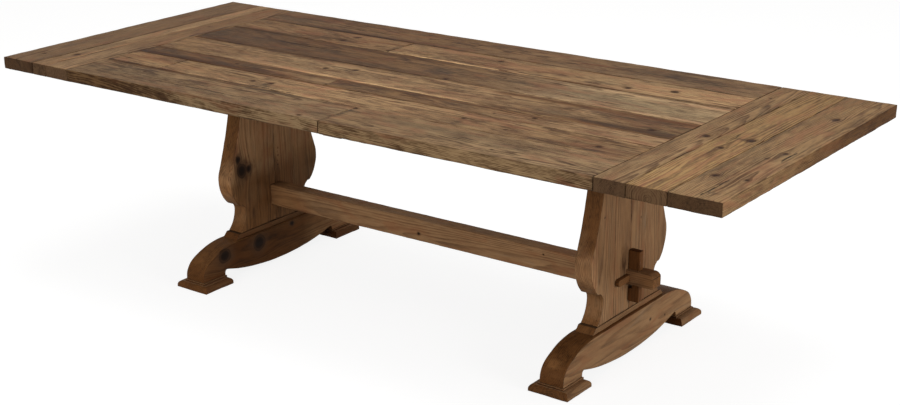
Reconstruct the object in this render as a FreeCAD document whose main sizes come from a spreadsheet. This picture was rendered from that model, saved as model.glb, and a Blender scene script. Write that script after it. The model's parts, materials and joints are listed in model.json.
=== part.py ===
"""Trestle dining table of reclaimed softwood boards.

The table stands on two urn-shaped trestles. A stretcher runs between them, and its tenons pass through
the trestle boards, where a vertical wedge key and a horizontal cross key hold each of them.
Millimetres, Z up, X along the table, origin on the floor under the middle of the top.
"""
import FreeCAD, Part
import math
import os
import Sketcher

Vector = FreeCAD.Vector

# Driving dimensions, in millimetres -------------------------------------------------------------------
DIMENSIONS = {
    # table top
    "table_height": 762.0,
    "top_thickness": 42.0,
    "plank_field_length": 2054.0,
    "back_plank_width": 177.0,
    "second_row_width": 156.0,
    "third_row_width": 203.0,
    "fourth_row_width": 182.0,
    "fifth_row_width": 93.0,
    "sixth_row_width": 144.0,
    "front_rail_width": 185.0,
    "second_row_joint": 725.0,
    "fifth_row_joint": 844.0,
    "sixth_row_joint": 239.0,
    "front_rail_joint": 1102.0,
    "left_outer_width": 149.0,
    "left_middle_width": 67.0,
    "left_inner_width": 106.0,
    "right_inner_width": 98.0,
    "right_middle_width": 123.0,
    "right_outer_width": 158.0,
    "seam_gap": 0.4,
    "seam_bevel": 1.2,
    "edge_round": 3.5,
    "arris_bevel": 2.0,
    "spline_thickness": 8.0,
    "spline_width": 24.0,
    "spline_clearance": 0.2,
    # where the trestles stand
    "left_overhang": 686.5,
    "right_overhang": 614.5,
    # trestle board: half widths, heights above the plinth, and the neck's drop from the head
    "stave_thickness": 60.0,
    "inner_stave_width": 94.0,
    "base_half_width": 185.0,
    "waist_half_width": 154.0,
    "waist_height": 72.0,
    "ledge_half_width": 170.0,
    "ledge_height": 97.0,
    "ledge_depth": 14.0,
    "ledge_step": 3.0,
    "belly_half_width": 226.0,
    "belly_height": 195.0,
    "shoulder_half_width": 221.0,
    "shoulder_height": 222.0,
    "neck_half_width": 152.0,
    "neck_drop": 33.0,
    "head_half_width": 176.0,
    "stave_tenon_thickness": 24.0,
    "stave_tenon_inset": 12.0,
    "head_tenon_length": 30.0,
    "foot_tenon_length": 55.0,
    "joint_clearance": 0.3,
    # plinth, foot and pads
    "plinth_thickness": 64.0,
    "plinth_height": 19.5,
    "plinth_half_length": 214.0,
    "plinth_rake": 19.0,
    "foot_thickness": 84.0,
    "foot_top": 130.5,
    "crest_reach": 215.0,
    "brow_reach": 359.0,
    "brow_height": 90.6,
    "toe_reach": 391.0,
    "toe_height": 34.0,
    "heel_reach": 284.0,
    "heel_height": 34.0,
    "instep_run": 12.0,
    "instep_rise": 8.5,
    "sole_clearance": 8.0,
    "pad_width": 140.0,
    "pad_length": 135.0,
    "pad_overhang": 20.0,
    "pad_height": 28.0,
    "pad_round": 15.0,
    "pad_step_height": 5.0,
    "pad_step_margin": 4.0,
    "pad_heel_margin": 2.0,
    # bearers and batten under the top
    "bearer_width": 74.0,
    "bearer_height": 65.0,
    "bearer_half_length": 505.0,
    "bearer_flat": 300.0,
    "bearer_tip_height": 24.0,
    "batten_width": 70.0,
    "batten_height": 30.0,
    "batten_half_length": 505.0,
    "batten_bevel": 12.0,
    # stretcher, tenons and keys
    "stretcher_width": 54.0,
    "stretcher_height": 76.0,
    "stretcher_underside": 212.0,
    "tenon_width": 50.0,
    "tenon_height": 46.0,
    "tenon_rise": 26.0,
    "tenon_projection": 95.0,
    "tenon_round": 18.0,
    "wedge_key_width": 40.0,
    "wedge_key_taper": 2.0,
    "wedge_key_thickness": 24.0,
    "wedge_key_height": 167.0,
    "wedge_key_below": 60.0,
    "wedge_key_lift": 25.0,
    "key_bevel": 3.0,
    "cross_key_width": 14.0,
    "cross_key_height": 24.0,
    "cross_key_rise": 9.0,
    "cross_key_tip": 90.0,
    "cross_key_tail": 58.0,
    "key_clearance": 0.3,
    # screws
    "screw_shank_radius": 3.0,
    "screw_head_radius": 5.8,
    "screw_head_height": 4.0,
    "screw_length": 42.0,
    "screw_seat_depth": 17.0,
    "screw_bore_radius": 7.0,
    "pad_screw_seat": 12.0,
    "pad_screw_spacing": 60.0,
    "pilot_clearance": 0.1,
}

OUTPUT_FOLDER = "parts"
SHEET_NAME = "Sizes"
HEAD_FLAT_COUNT = 6
BORE_FLAT_COUNT = 12
SLACK = 0.01
OVERCUT = 1.0

document = FreeCAD.newDocument("TrestleTable")


# Sizes ------------------------------------------------------------------------------------------------
class Size:
    """A length known both as a number and as the sheet expression that gives it."""

    def __init__(self, number, text):
        self.number = float(number)
        self.text = text

    @staticmethod
    def of(value):
        """Turn a plain number into a Size, and leave a Size as it is."""
        return value if isinstance(value, Size) else Size(value, repr(float(value)))

    def __add__(self, other):
        other = Size.of(other)
        return Size(self.number + other.number, "({} + {})".format(self.text, other.text))

    def __sub__(self, other):
        other = Size.of(other)
        return Size(self.number - other.number, "({} - {})".format(self.text, other.text))

    def __mul__(self, factor):
        return Size(self.number * factor, "({} * {})".format(self.text, float(factor)))

    def __truediv__(self, divisor):
        return Size(self.number / divisor, "({} / {})".format(self.text, float(divisor)))

    def __neg__(self):
        return Size(-self.number, "(0 - {})".format(self.text))

    __radd__ = __add__

    def __rsub__(self, other):
        return Size.of(other) - self


def make_sheet():
    """Write the driving dimensions to a spreadsheet and return each as a Size."""
    sheet = document.addObject("Spreadsheet::Sheet", SHEET_NAME)
    for row, (alias, value) in enumerate(DIMENSIONS.items(), start=1):
        sheet.set("A{}".format(row), alias)
        sheet.set("B{}".format(row), str(value))
        sheet.setAlias("B{}".format(row), alias)
    document.recompute()
    return {alias: Size(sheet.get(alias), "{}.{}".format(SHEET_NAME, alias)) for alias in DIMENSIONS}


S = make_sheet()
ZERO = Size(0, "0")


# Places worked out from the driving dimensions --------------------------------------------------------
ROW_NAMES = [
    "front_rail",
    "sixth_row",
    "fifth_row",
    "fourth_row",
    "third_row",
    "second_row",
    "back_plank",
]
LEFT_ENDS = ["left_outer", "left_middle", "left_inner"]
RIGHT_ENDS = ["right_inner", "right_middle", "right_outer"]

left_ends_width = S["left_outer_width"] + S["left_middle_width"] + S["left_inner_width"]
right_ends_width = S["right_inner_width"] + S["right_middle_width"] + S["right_outer_width"]
top_length = left_ends_width + S["plank_field_length"] + right_ends_width
top_width = sum((S[name + "_width"] for name in ROW_NAMES), ZERO)
top_underside = S["table_height"] - S["top_thickness"]
field_start = left_ends_width - top_length / 2
front_edge = -(top_width / 2)

trestle_places = {
    "left": S["left_overhang"] - top_length / 2,
    "right": top_length / 2 - S["right_overhang"],
}
trestle_turns = {"left": 180.0, "right": 0.0}
trestle_spacing = trestle_places["right"] - trestle_places["left"]
base_middle = (trestle_places["left"] + trestle_places["right"]) / 2

stave_foot = S["foot_top"] + S["plinth_height"]
stave_head = top_underside - S["bearer_height"]
board_face = S["stave_thickness"] / 2
tenon_underside = S["stretcher_underside"] + S["tenon_rise"]
tenon_top = tenon_underside + S["tenon_height"]
cross_key_underside = tenon_underside + S["cross_key_rise"]
screw_seat = top_underside - S["screw_seat_depth"]
screw_lines = {
    "left_bearer": trestle_places["left"],
    "batten": base_middle,
    "right_bearer": trestle_places["right"],
}


# Helpers for bodies and sketches ----------------------------------------------------------------------
def new_body(name):
    """A body of its own, labelled with the sub-part's name."""
    body = document.addObject("PartDesign::Body", name)
    body.Label = name
    return body


def origin_plane(body, role):
    """One of the body's own origin planes."""
    return next(feature for feature in body.Origin.OriginFeatures if feature.Role == role)


def bind(target, path, size):
    """Bind one property to the sheet."""
    target.setExpression(path, Size.of(size).text)


def place(body, along, across, up, turn=0.0):
    """Put a body at a point of the table, turned about the vertical."""
    rotation = FreeCAD.Rotation(Vector(0, 0, 1), turn)
    body.Placement = FreeCAD.Placement(Vector(0, 0, 0), rotation)
    bind(body, "Placement.Base.x", along)
    bind(body, "Placement.Base.y", across)
    bind(body, "Placement.Base.z", up)


def new_sketch(body, role, name, offset=None):
    """A sketch on an origin plane, moved along the plane's normal where an offset is given."""
    sketch = body.newObject("Sketcher::SketchObject", name)
    sketch.AttachmentSupport = (origin_plane(body, role), [""])
    sketch.MapMode = "FlatFace"
    if offset is not None:
        bind(sketch, "AttachmentOffset.Base.z", offset)
    return sketch


def pin_point(sketch, index, position, corner):
    """Fix one end of a sketch element at a corner whose coordinates come from the sheet."""
    for axis, coordinate in zip(("DistanceX", "DistanceY"), corner):
        coordinate = Size.of(coordinate)
        constraint = Sketcher.Constraint(axis, -1, 1, index, position, coordinate.number)
        number = sketch.addConstraint(constraint)
        sketch.setExpression("Constraints[{}]".format(number), coordinate.text)


def arc_centre(start, end, tangent):
    """Centre of the arc that leaves start along tangent and reaches end, and whether it turns left."""
    normal = Vector(-tangent.y, tangent.x, 0)
    chord = end - start
    reach = chord.dot(chord) / (2 * chord.dot(normal))
    return start + normal * reach, reach > 0


def turn_direction(centre, point, turns_left):
    """Direction of travel at a point of an arc."""
    spoke = (point - centre).normalize()
    side = 1 if turns_left else -1
    return Vector(-spoke.y * side, spoke.x * side, 0)


def closed_outline(sketch, start, steps):
    """Draw a closed outline of lines and arcs, with every corner bound to the sheet.

    A step is (kind, corner). A "line" is straight. A "smooth" arc leaves along the step before it.
    "rise_start" and "rise_end" arcs are upright at their first or last corner, "level_start" and
    "level_end" arcs are level there. The last step returns to the start.
    """
    count = len(steps)
    ends = []
    here = start
    heading = None
    for index, (kind, corner) in enumerate(steps):
        first = Vector(Size.of(here[0]).number, Size.of(here[1]).number, 0)
        last = Vector(Size.of(corner[0]).number, Size.of(corner[1]).number, 0)
        if kind == "line":
            sketch.addGeometry(Part.LineSegment(first, last), False)
            heading = (last - first).normalize()
            ends.append((1, 2))
        else:
            centre, turns_left, heading = find_arc(kind, first, last, heading)
            low, high = (first, last) if turns_left else (last, first)
            low_angle = math.atan2(low.y - centre.y, low.x - centre.x)
            high_angle = math.atan2(high.y - centre.y, high.x - centre.x)
            circle = Part.Circle(centre, Vector(0, 0, 1), (first - centre).Length)
            sketch.addGeometry(Part.ArcOfCircle(circle, low_angle, high_angle), False)
            ends.append((1, 2) if turns_left else (2, 1))
        here = corner
    here = start
    for index, (kind, corner) in enumerate(steps):
        entry, leave = ends[index]
        before = (index - 1) % count
        pin_point(sketch, index, entry, here)
        if kind == "smooth":
            sketch.addConstraint(Sketcher.Constraint("Tangent", before, ends[before][1], index, entry))
        else:
            sketch.addConstraint(Sketcher.Constraint("Coincident", before, ends[before][1], index, entry))
        if kind in ("rise_start", "rise_end"):
            point = entry if kind == "rise_start" else leave
            sketch.addConstraint(Sketcher.Constraint("Horizontal", index, 3, index, point))
        if kind in ("level_start", "level_end"):
            point = entry if kind == "level_start" else leave
            sketch.addConstraint(Sketcher.Constraint("Vertical", index, 3, index, point))
        here = corner


def find_arc(kind, first, last, heading):
    """Centre, sense and final direction of one arc of an outline."""
    if kind == "smooth":
        centre, turns_left = arc_centre(first, last, heading)
        return centre, turns_left, turn_direction(centre, last, turns_left)
    along = Vector(0, 1, 0) if kind.startswith("rise") else Vector(1, 0, 0)
    if along.dot(last - first) < 0:
        along = -along
    if kind.endswith("start"):
        centre, turns_left = arc_centre(first, last, along)
    else:
        centre, turns_right = arc_centre(last, first, -along)
        turns_left = not turns_right
    return centre, turns_left, turn_direction(centre, last, turns_left)


def polygon(sketch, corners):
    """Draw a closed outline of straight lines."""
    closed_outline(sketch, corners[0], [("line", corner) for corner in corners[1:] + corners[:1]])


def rectangle(sketch, low, high):
    """Draw a rectangle between two opposite corners."""
    polygon(sketch, [low, (high[0], low[1]), high, (low[0], high[1])])


def pad(body, sketch, length, symmetric=False, reverse=False):
    """Give a sketch its thickness."""
    feature = body.newObject("PartDesign::Pad", "pad")
    feature.Profile = sketch
    feature.SideType = "Symmetric" if symmetric else "One side"
    feature.Reversed = reverse
    bind(feature, "Length", length)
    return feature


def cut_box(body, low, high):
    """Cut a box, given by two opposite corners in the body's own frame."""
    box = body.newObject("PartDesign::SubtractiveBox", "cut")
    for axis, length, near, far in zip("xyz", ("Length", "Width", "Height"), low, high):
        bind(box, "Placement.Base." + axis, near)
        bind(box, length, Size.of(far) - near)
    return box


def cut_hole(body, along, across, low, high, radius):
    """Cut an upright hole between two heights, round but for its flats, which the radius touches."""
    hole = body.newObject("PartDesign::SubtractivePrism", "hole")
    hole.Polygon = BORE_FLAT_COUNT
    bind(hole, "Circumradius", radius / math.cos(math.pi / BORE_FLAT_COUNT))
    bind(hole, "Height", Size.of(high) - low)
    bind(hole, "Placement.Base.x", along)
    bind(hole, "Placement.Base.y", across)
    bind(hole, "Placement.Base.z", low)
    return hole


def edges_where(feature, test):
    """Names of the feature's edges whose two ends both pass a test."""
    document.recompute()
    names = []
    for index, edge in enumerate(feature.Shape.Edges, start=1):
        if all(test(vertex.Point) for vertex in edge.Vertexes):
            names.append("Edge{}".format(index))
    return names


def face_edges(feature, half_thickness, low, high, reach=ZERO):
    """Edges of both faces of an upright slab, between two heights and beyond a reach from its middle."""
    def in_reach(point):
        return low.number - SLACK < point.z < high.number + SLACK and abs(point.y) > reach.number - SLACK

    near = edges_where(feature, lambda point: point.x < SLACK - half_thickness.number and in_reach(point))
    far = edges_where(feature, lambda point: point.x > half_thickness.number - SLACK and in_reach(point))
    return near + far


def soften(body, base, edges, kind, size):
    """Round or bevel some edges of a feature."""
    feature = body.newObject("PartDesign::" + kind, kind.lower())
    feature.Base = (base, edges)
    bind(feature, "Radius" if kind == "Fillet" else "Size", size)
    return feature


# Table top --------------------------------------------------------------------------------------------
groove_low = S["top_thickness"] / 2 - S["spline_thickness"] / 2 - S["spline_clearance"]
groove_high = S["top_thickness"] / 2 + S["spline_thickness"] / 2 + S["spline_clearance"]
groove_depth = S["spline_width"] / 2 + S["spline_clearance"]


def board_section(sketch, width, near_grooved, far_grooved):
    """Cross-section of a board: grooved and bevelled at a seam, rounded at an outer edge."""
    thickness = S["top_thickness"]
    near_ease = S["seam_bevel"] if near_grooved else S["edge_round"]
    far_ease = S["seam_bevel"] if far_grooved else S["edge_round"]
    steps = [("line", (width - far_ease, ZERO))]
    steps.append(("line" if far_grooved else "smooth", (width, far_ease)))
    if far_grooved:
        steps.append(("line", (width, groove_low)))
        steps.append(("line", (width - groove_depth, groove_low)))
        steps.append(("line", (width - groove_depth, groove_high)))
        steps.append(("line", (width, groove_high)))
    steps.append(("line", (width, thickness - far_ease)))
    steps.append(("line" if far_grooved else "smooth", (width - far_ease, thickness)))
    steps.append(("line", (near_ease, thickness)))
    steps.append(("line" if near_grooved else "smooth", (ZERO, thickness - near_ease)))
    if near_grooved:
        steps.append(("line", (ZERO, groove_high)))
        steps.append(("line", (groove_depth, groove_high)))
        steps.append(("line", (groove_depth, groove_low)))
        steps.append(("line", (ZERO, groove_low)))
    steps.append(("line", (ZERO, near_ease)))
    steps.append(("line" if near_grooved else "smooth", (near_ease, ZERO)))
    closed_outline(sketch, (near_ease, ZERO), steps)


def board(name, length, width, near_grooved, far_grooved, eased_ends=False):
    """A board along X with its near edge on the X axis and its underside at height nought."""
    body = new_body(name)
    sketch = new_sketch(body, "YZ_Plane", "section")
    board_section(sketch, width, near_grooved, far_grooved)
    block = pad(body, sketch, length)
    if eased_ends:
        soften(body, block, end_edges(block, length, S["top_thickness"]), "Chamfer", S["arris_bevel"])
    return body


def end_edges(feature, length, thickness):
    """The upper and lower edges of both ends of a board."""
    names = []
    for along in (0.0, length.number):
        for up in (0.0, thickness.number):
            names += edges_where(feature, lambda point: abs(point.x - along) + abs(point.z - up) < SLACK)
    return names


def groove_end(body, length, width, at_far_end):
    """Groove the end of a plank for the spline that joins it to the cross boards."""
    start = length - groove_depth if at_far_end else ZERO
    stop = length if at_far_end else groove_depth
    cut_box(body, (start, ZERO, groove_low), (stop, width, groove_high))


def row_floor(name):
    """Distance of a row's near edge from the front edge of the top."""
    nearer = ROW_NAMES[: ROW_NAMES.index(name)]
    return sum((S[other + "_width"] for other in nearer), ZERO)


def plank(name, row, start, stop, joins_left, joins_right):
    """One plank of a row, from start to stop along the plank field."""
    gap = S["seam_gap"]
    near = row != ROW_NAMES[0]
    far = row != ROW_NAMES[-1]
    near_gap = gap / 2 if near else ZERO
    far_gap = gap / 2 if far else ZERO
    length = stop - start - gap
    width = S[row + "_width"] - near_gap - far_gap
    body = board(name, length, width, near, far)
    if joins_left:
        groove_end(body, length, width, False)
    if joins_right:
        groove_end(body, length, width, True)
    middle = row_floor(row) + S[row + "_width"] / 2
    for line in screw_lines.values():
        distance = line - field_start
        if start.number < distance.number < stop.number:
            along = distance - start - gap / 2
            across = middle - row_floor(row) - near_gap
            top_of_hole = S["screw_length"] - S["screw_seat_depth"] + OVERCUT * 2
            radius = S["screw_shank_radius"] + S["pilot_clearance"]
            cut_hole(body, along, across, ZERO - OVERCUT, top_of_hole, radius)
    place(body, field_start + start + gap / 2, front_edge + row_floor(row) + near_gap, top_underside)


def plank_row(row, joint=None):
    """A row of the field, in one length or in two lengths butted at a joint."""
    length = S["plank_field_length"]
    if joint is None:
        plank(row if row == "back_plank" else row + "_plank", row, ZERO, length, True, True)
    else:
        plank(row + "_left", row, ZERO, S[joint], True, False)
        plank(row + "_right", row, S[joint], length, False, True)


def cross_boards(names, start, outer_is_first):
    """The boards across one end, from start towards +X."""
    gap = S["seam_gap"]
    edge = start
    for index, name in enumerate(names):
        width = S[name + "_width"]
        outer_left = outer_is_first and index == 0
        outer_right = not outer_is_first and index == len(names) - 1
        left_gap = ZERO if outer_left else gap / 2
        right_gap = ZERO if outer_right else gap / 2
        grooved = (not outer_right, not outer_left)
        body = board(name + "_board", top_width, width - left_gap - right_gap, *grooved, eased_ends=True)
        place(body, edge + width - right_gap, front_edge, top_underside, turn=90.0)
        edge = edge + width


def spline_strip(name, length, along, across, turn=0.0):
    """A loose strip of hardwood in the grooves of two neighbouring boards, centred on a seam."""
    body = new_body(name)
    sketch = new_sketch(body, "YZ_Plane", "section")
    half = S["spline_width"] / 2
    rectangle(sketch, (-half, ZERO), (half, S["spline_thickness"]))
    pad(body, sketch, length)
    height = top_underside + S["top_thickness"] / 2 - S["spline_thickness"] / 2
    place(body, along, across, height, turn)


def make_splines():
    """All the splines of the top."""
    margin = groove_depth + S["joint_clearance"]
    row_length = S["plank_field_length"] - margin * 2
    for number, row in enumerate(ROW_NAMES[1:], start=1):
        across = front_edge + row_floor(row)
        spline_strip("row_spline_{}".format(number), row_length, field_start + margin, across)
    end_margin = S["spline_width"] * 2
    cross_length = top_width - end_margin * 2
    field_end = field_start + S["plank_field_length"]
    seams = {
        "left_end_spline": field_start,
        "left_cross_spline_1": field_start - S["left_inner_width"],
        "left_cross_spline_2": field_start - S["left_inner_width"] - S["left_middle_width"],
        "right_end_spline": field_end,
        "right_cross_spline_1": field_end + S["right_inner_width"],
        "right_cross_spline_2": field_end + S["right_inner_width"] + S["right_middle_width"],
    }
    for name, along in seams.items():
        spline_strip(name, cross_length, along, front_edge + end_margin, turn=90.0)


def make_top():
    """Planks, cross boards and splines."""
    plank_row("back_plank")
    plank_row("second_row", "second_row_joint")
    plank_row("third_row")
    plank_row("fourth_row")
    plank_row("fifth_row", "fifth_row_joint")
    plank_row("sixth_row", "sixth_row_joint")
    plank_row("front_rail", "front_rail_joint")
    cross_boards(LEFT_ENDS, -(top_length / 2), True)
    cross_boards(RIGHT_ENDS, field_start + S["plank_field_length"], False)
    make_splines()


# Bearers, batten and their screws ---------------------------------------------------------------------
def row_middles():
    """Distance of each row's middle from the table's long axis."""
    return [front_edge + row_floor(row) + S[row + "_width"] / 2 for row in ROW_NAMES]


def cut_screw_bores(body, underside, turn=0.0):
    """Counterbore and clearance hole for one screw under the middle of each row."""
    middles = row_middles() if turn == 0.0 else [-middle for middle in row_middles()]
    for across in middles:
        cut_hole(body, ZERO, across, underside - OVERCUT, screw_seat, S["screw_bore_radius"])
        shank = S["screw_shank_radius"] + S["pilot_clearance"]
        cut_hole(body, ZERO, across, screw_seat - OVERCUT, top_underside + OVERCUT, shank)


def make_bearer(side):
    """The shaped rail under the top that the trestle's staves are tenoned into."""
    body = new_body(side + "_bearer")
    sketch = new_sketch(body, "YZ_Plane", "outline")
    low = top_underside - S["bearer_height"]
    tip = top_underside - S["bearer_tip_height"]
    flat = S["bearer_flat"]
    reach = S["bearer_half_length"]
    steps = [
        ("line", (flat, low)),
        ("smooth", (reach, tip)),
        ("line", (reach, top_underside)),
        ("line", (-reach, top_underside)),
        ("line", (-reach, tip)),
        ("level_end", (-flat, low)),
    ]
    closed_outline(sketch, (-flat, low), steps)
    pad(body, sketch, S["bearer_width"], symmetric=True)
    clearance = S["joint_clearance"]
    half = S["stave_tenon_thickness"] / 2 + clearance
    reach = S["inner_stave_width"] - S["stave_tenon_inset"] + clearance
    depth = S["head_tenon_length"] + clearance
    cut_box(body, (-half, -reach, low - OVERCUT), (half, reach, low + depth))
    cut_screw_bores(body, low, trestle_turns[side])
    place(body, trestle_places[side], ZERO, ZERO, trestle_turns[side])


def make_batten():
    """A flat batten across the planks, midway between the trestles."""
    body = new_body("middle_batten")
    sketch = new_sketch(body, "YZ_Plane", "outline")
    low = top_underside - S["batten_height"]
    reach = S["batten_half_length"]
    bevel = S["batten_bevel"]
    corners = [
        (bevel - reach, low),
        (reach - bevel, low),
        (reach, low + bevel),
        (reach, top_underside),
        (-reach, top_underside),
        (-reach, low + bevel),
    ]
    polygon(sketch, corners)
    pad(body, sketch, S["batten_width"], symmetric=True)
    cut_screw_bores(body, low)
    place(body, base_middle, ZERO, ZERO)


def make_screws(name, places, seat):
    """A group of upright coach screws with their hexagonal heads below the seat."""
    head_low = seat - S["screw_head_height"]
    screws = []
    for number, (along, across) in enumerate(places, start=1):
        head = document.addObject("Part::Prism", "{}_head_{}".format(name, number))
        head.Polygon = HEAD_FLAT_COUNT
        bind(head, "Circumradius", S["screw_head_radius"])
        bind(head, "Height", S["screw_head_height"])
        shank = document.addObject("Part::Prism", "{}_shank_{}".format(name, number))
        shank.Polygon = BORE_FLAT_COUNT
        bind(shank, "Circumradius", S["screw_shank_radius"])
        bind(shank, "Height", S["screw_length"])
        for piece, height in ((head, head_low), (shank, seat)):
            bind(piece, "Placement.Base.x", along)
            bind(piece, "Placement.Base.y", across)
            bind(piece, "Placement.Base.z", height)
        screw = document.addObject("Part::Fuse", "{}_{}".format(name, number))
        screw.Base = head
        screw.Tool = shank
        screws.append(screw)
    group = document.addObject("Part::Compound", name)
    group.Label = name
    group.Links = screws
    return group


def make_top_screws():
    """The screws that hold the planks to the bearers and the batten."""
    return [
        make_screws(line + "_screws", [(along, across) for across in row_middles()], screw_seat)
        for line, along in screw_lines.items()
    ]


# Trestles ---------------------------------------------------------------------------------------------
def make_outer_stave(side, end, turned):
    """A scroll-cut outer stave, whose edge swells from a waist to a belly and narrows to a neck."""
    body = new_body("{}_{}_outer_stave".format(side, end))
    sketch = new_sketch(body, "YZ_Plane", "outline")
    inner = S["inner_stave_width"]
    foot = stave_foot
    ledge = foot + S["ledge_height"]
    ledge_reach = S["ledge_half_width"] + S["ledge_depth"]
    steps = [
        ("line", (S["base_half_width"], foot)),
        ("rise_end", (S["waist_half_width"], foot + S["waist_height"])),
        ("smooth", (S["ledge_half_width"], ledge)),
        ("line", (S["ledge_half_width"], ledge + S["ledge_step"])),
        ("line", (ledge_reach, ledge + S["ledge_step"])),
        ("rise_end", (S["belly_half_width"], foot + S["belly_height"])),
        ("smooth", (S["shoulder_half_width"], foot + S["shoulder_height"])),
        ("smooth", (S["neck_half_width"], stave_head - S["neck_drop"])),
        ("rise_start", (S["head_half_width"], stave_head)),
        ("line", (inner, stave_head)),
        ("line", (inner, foot)),
    ]
    closed_outline(sketch, (inner, foot), steps)
    stave = pad(body, sketch, S["stave_thickness"], symmetric=True)
    scroll = face_edges(stave, board_face, foot, stave_head, S["inner_stave_width"] + SLACK * 2)
    soften(body, stave, scroll, "Chamfer", S["arris_bevel"])
    place(body, trestle_places[side], ZERO, ZERO, trestle_turns[side] + turned)


def make_inner_stave(side, end, turned):
    """A straight inner stave, with tenons top and bottom and half of the stretcher's mortise."""
    body = new_body("{}_{}_inner_stave".format(side, end))
    sketch = new_sketch(body, "YZ_Plane", "outline")
    width = S["inner_stave_width"]
    clearance = S["joint_clearance"]
    mortise_depth = S["tenon_width"] / 2 + clearance
    mortise_low = tenon_underside - clearance
    mortise_high = tenon_top + clearance
    corners = [
        (ZERO, stave_foot),
        (width, stave_foot),
        (width, stave_head),
        (ZERO, stave_head),
        (ZERO, mortise_high),
        (mortise_depth, mortise_high),
        (mortise_depth, mortise_low),
        (ZERO, mortise_low),
    ]
    polygon(sketch, corners)
    pad(body, sketch, S["stave_thickness"], symmetric=True)
    tenon_width = width - S["stave_tenon_inset"]
    head_tenon = new_sketch(body, "YZ_Plane", "head_tenon")
    rectangle(head_tenon, (ZERO, stave_head - OVERCUT), (tenon_width, stave_head + S["head_tenon_length"]))
    pad(body, head_tenon, S["stave_tenon_thickness"], symmetric=True)
    foot_tenon = new_sketch(body, "YZ_Plane", "foot_tenon")
    rectangle(foot_tenon, (ZERO, stave_foot - S["foot_tenon_length"]), (tenon_width, stave_foot + OVERCUT))
    pad(body, foot_tenon, S["stave_tenon_thickness"], symmetric=True)
    place(body, trestle_places[side], ZERO, ZERO, trestle_turns[side] + turned)


def make_plinth(side):
    """The strip between the trestle board and the foot, raked at its ends and slotted for the tenons."""
    body = new_body(side + "_plinth")
    sketch = new_sketch(body, "YZ_Plane", "outline")
    reach = S["plinth_half_length"]
    upper_reach = reach - S["plinth_rake"]
    corners = [
        (-reach, S["foot_top"]),
        (reach, S["foot_top"]),
        (upper_reach, stave_foot),
        (-upper_reach, stave_foot),
    ]
    polygon(sketch, corners)
    strip = pad(body, sketch, S["plinth_thickness"], symmetric=True)
    upper = edges_where(strip, lambda point: point.z > stave_foot.number - SLACK)
    soften(body, strip, upper, "Chamfer", S["arris_bevel"])
    clearance = S["joint_clearance"]
    half = S["stave_tenon_thickness"] / 2 + clearance
    slot = S["inner_stave_width"] - S["stave_tenon_inset"] + clearance
    cut_box(body, (-half, -slot, S["foot_top"] - OVERCUT), (half, slot, stave_foot + OVERCUT))
    place(body, trestle_places[side], ZERO, ZERO, trestle_turns[side])


def pad_screw_places():
    """Distance along the foot of each pad screw, from the trestle's middle."""
    middle = pad_middle()
    half = S["pad_screw_spacing"] / 2
    return [middle - half, middle + half, half - middle, -(middle + half)]


def pad_middle():
    """Distance of a pad's middle from the table's long axis."""
    return S["toe_reach"] + S["pad_overhang"] - S["pad_length"] / 2


def make_foot(side):
    """The sledge foot: level crest, rounded brow down to each toe, and a sole that bows down."""
    body = new_body(side + "_foot")
    sketch = new_sketch(body, "YZ_Plane", "outline")
    top = S["foot_top"]
    rest = S["pad_height"]
    crest, brow, toe = S["crest_reach"], S["brow_reach"], S["toe_reach"]
    heel = S["heel_reach"]
    instep = heel - S["instep_run"]
    instep_height = S["heel_height"] + S["instep_rise"]
    steps = [
        ("line", (toe, rest)),
        ("line", (toe, S["toe_height"])),
        ("smooth", (brow, S["brow_height"])),
        ("smooth", (crest, top)),
        ("line", (-crest, top)),
        ("smooth", (-brow, S["brow_height"])),
        ("smooth", (-toe, S["toe_height"])),
        ("line", (-toe, rest)),
        ("line", (-heel, rest)),
        ("line", (-heel, S["heel_height"])),
        ("smooth", (-instep, instep_height)),
        ("level_end", (ZERO, S["sole_clearance"])),
        ("smooth", (instep, instep_height)),
        ("rise_end", (heel, S["heel_height"])),
        ("line", (heel, rest)),
    ]
    closed_outline(sketch, (heel, rest), steps)
    block = pad(body, sketch, S["foot_thickness"], symmetric=True)
    half_thickness = S["foot_thickness"] / 2
    soften(body, block, face_edges(block, half_thickness, S["toe_height"], top), "Chamfer", S["arris_bevel"])
    clearance = S["joint_clearance"]
    half = S["stave_tenon_thickness"] / 2 + clearance
    slot = S["inner_stave_width"] - S["stave_tenon_inset"] + clearance
    floor = stave_foot - S["foot_tenon_length"] - clearance
    cut_box(body, (-half, -slot, floor), (half, slot, top + OVERCUT))
    screw_top = S["pad_screw_seat"] + S["screw_length"] + OVERCUT
    for across in pad_screw_places():
        radius = S["screw_shank_radius"] + S["pilot_clearance"]
        cut_hole(body, ZERO, across, rest - OVERCUT, screw_top, radius)
    place(body, trestle_places[side], ZERO, ZERO, trestle_turns[side])


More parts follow.
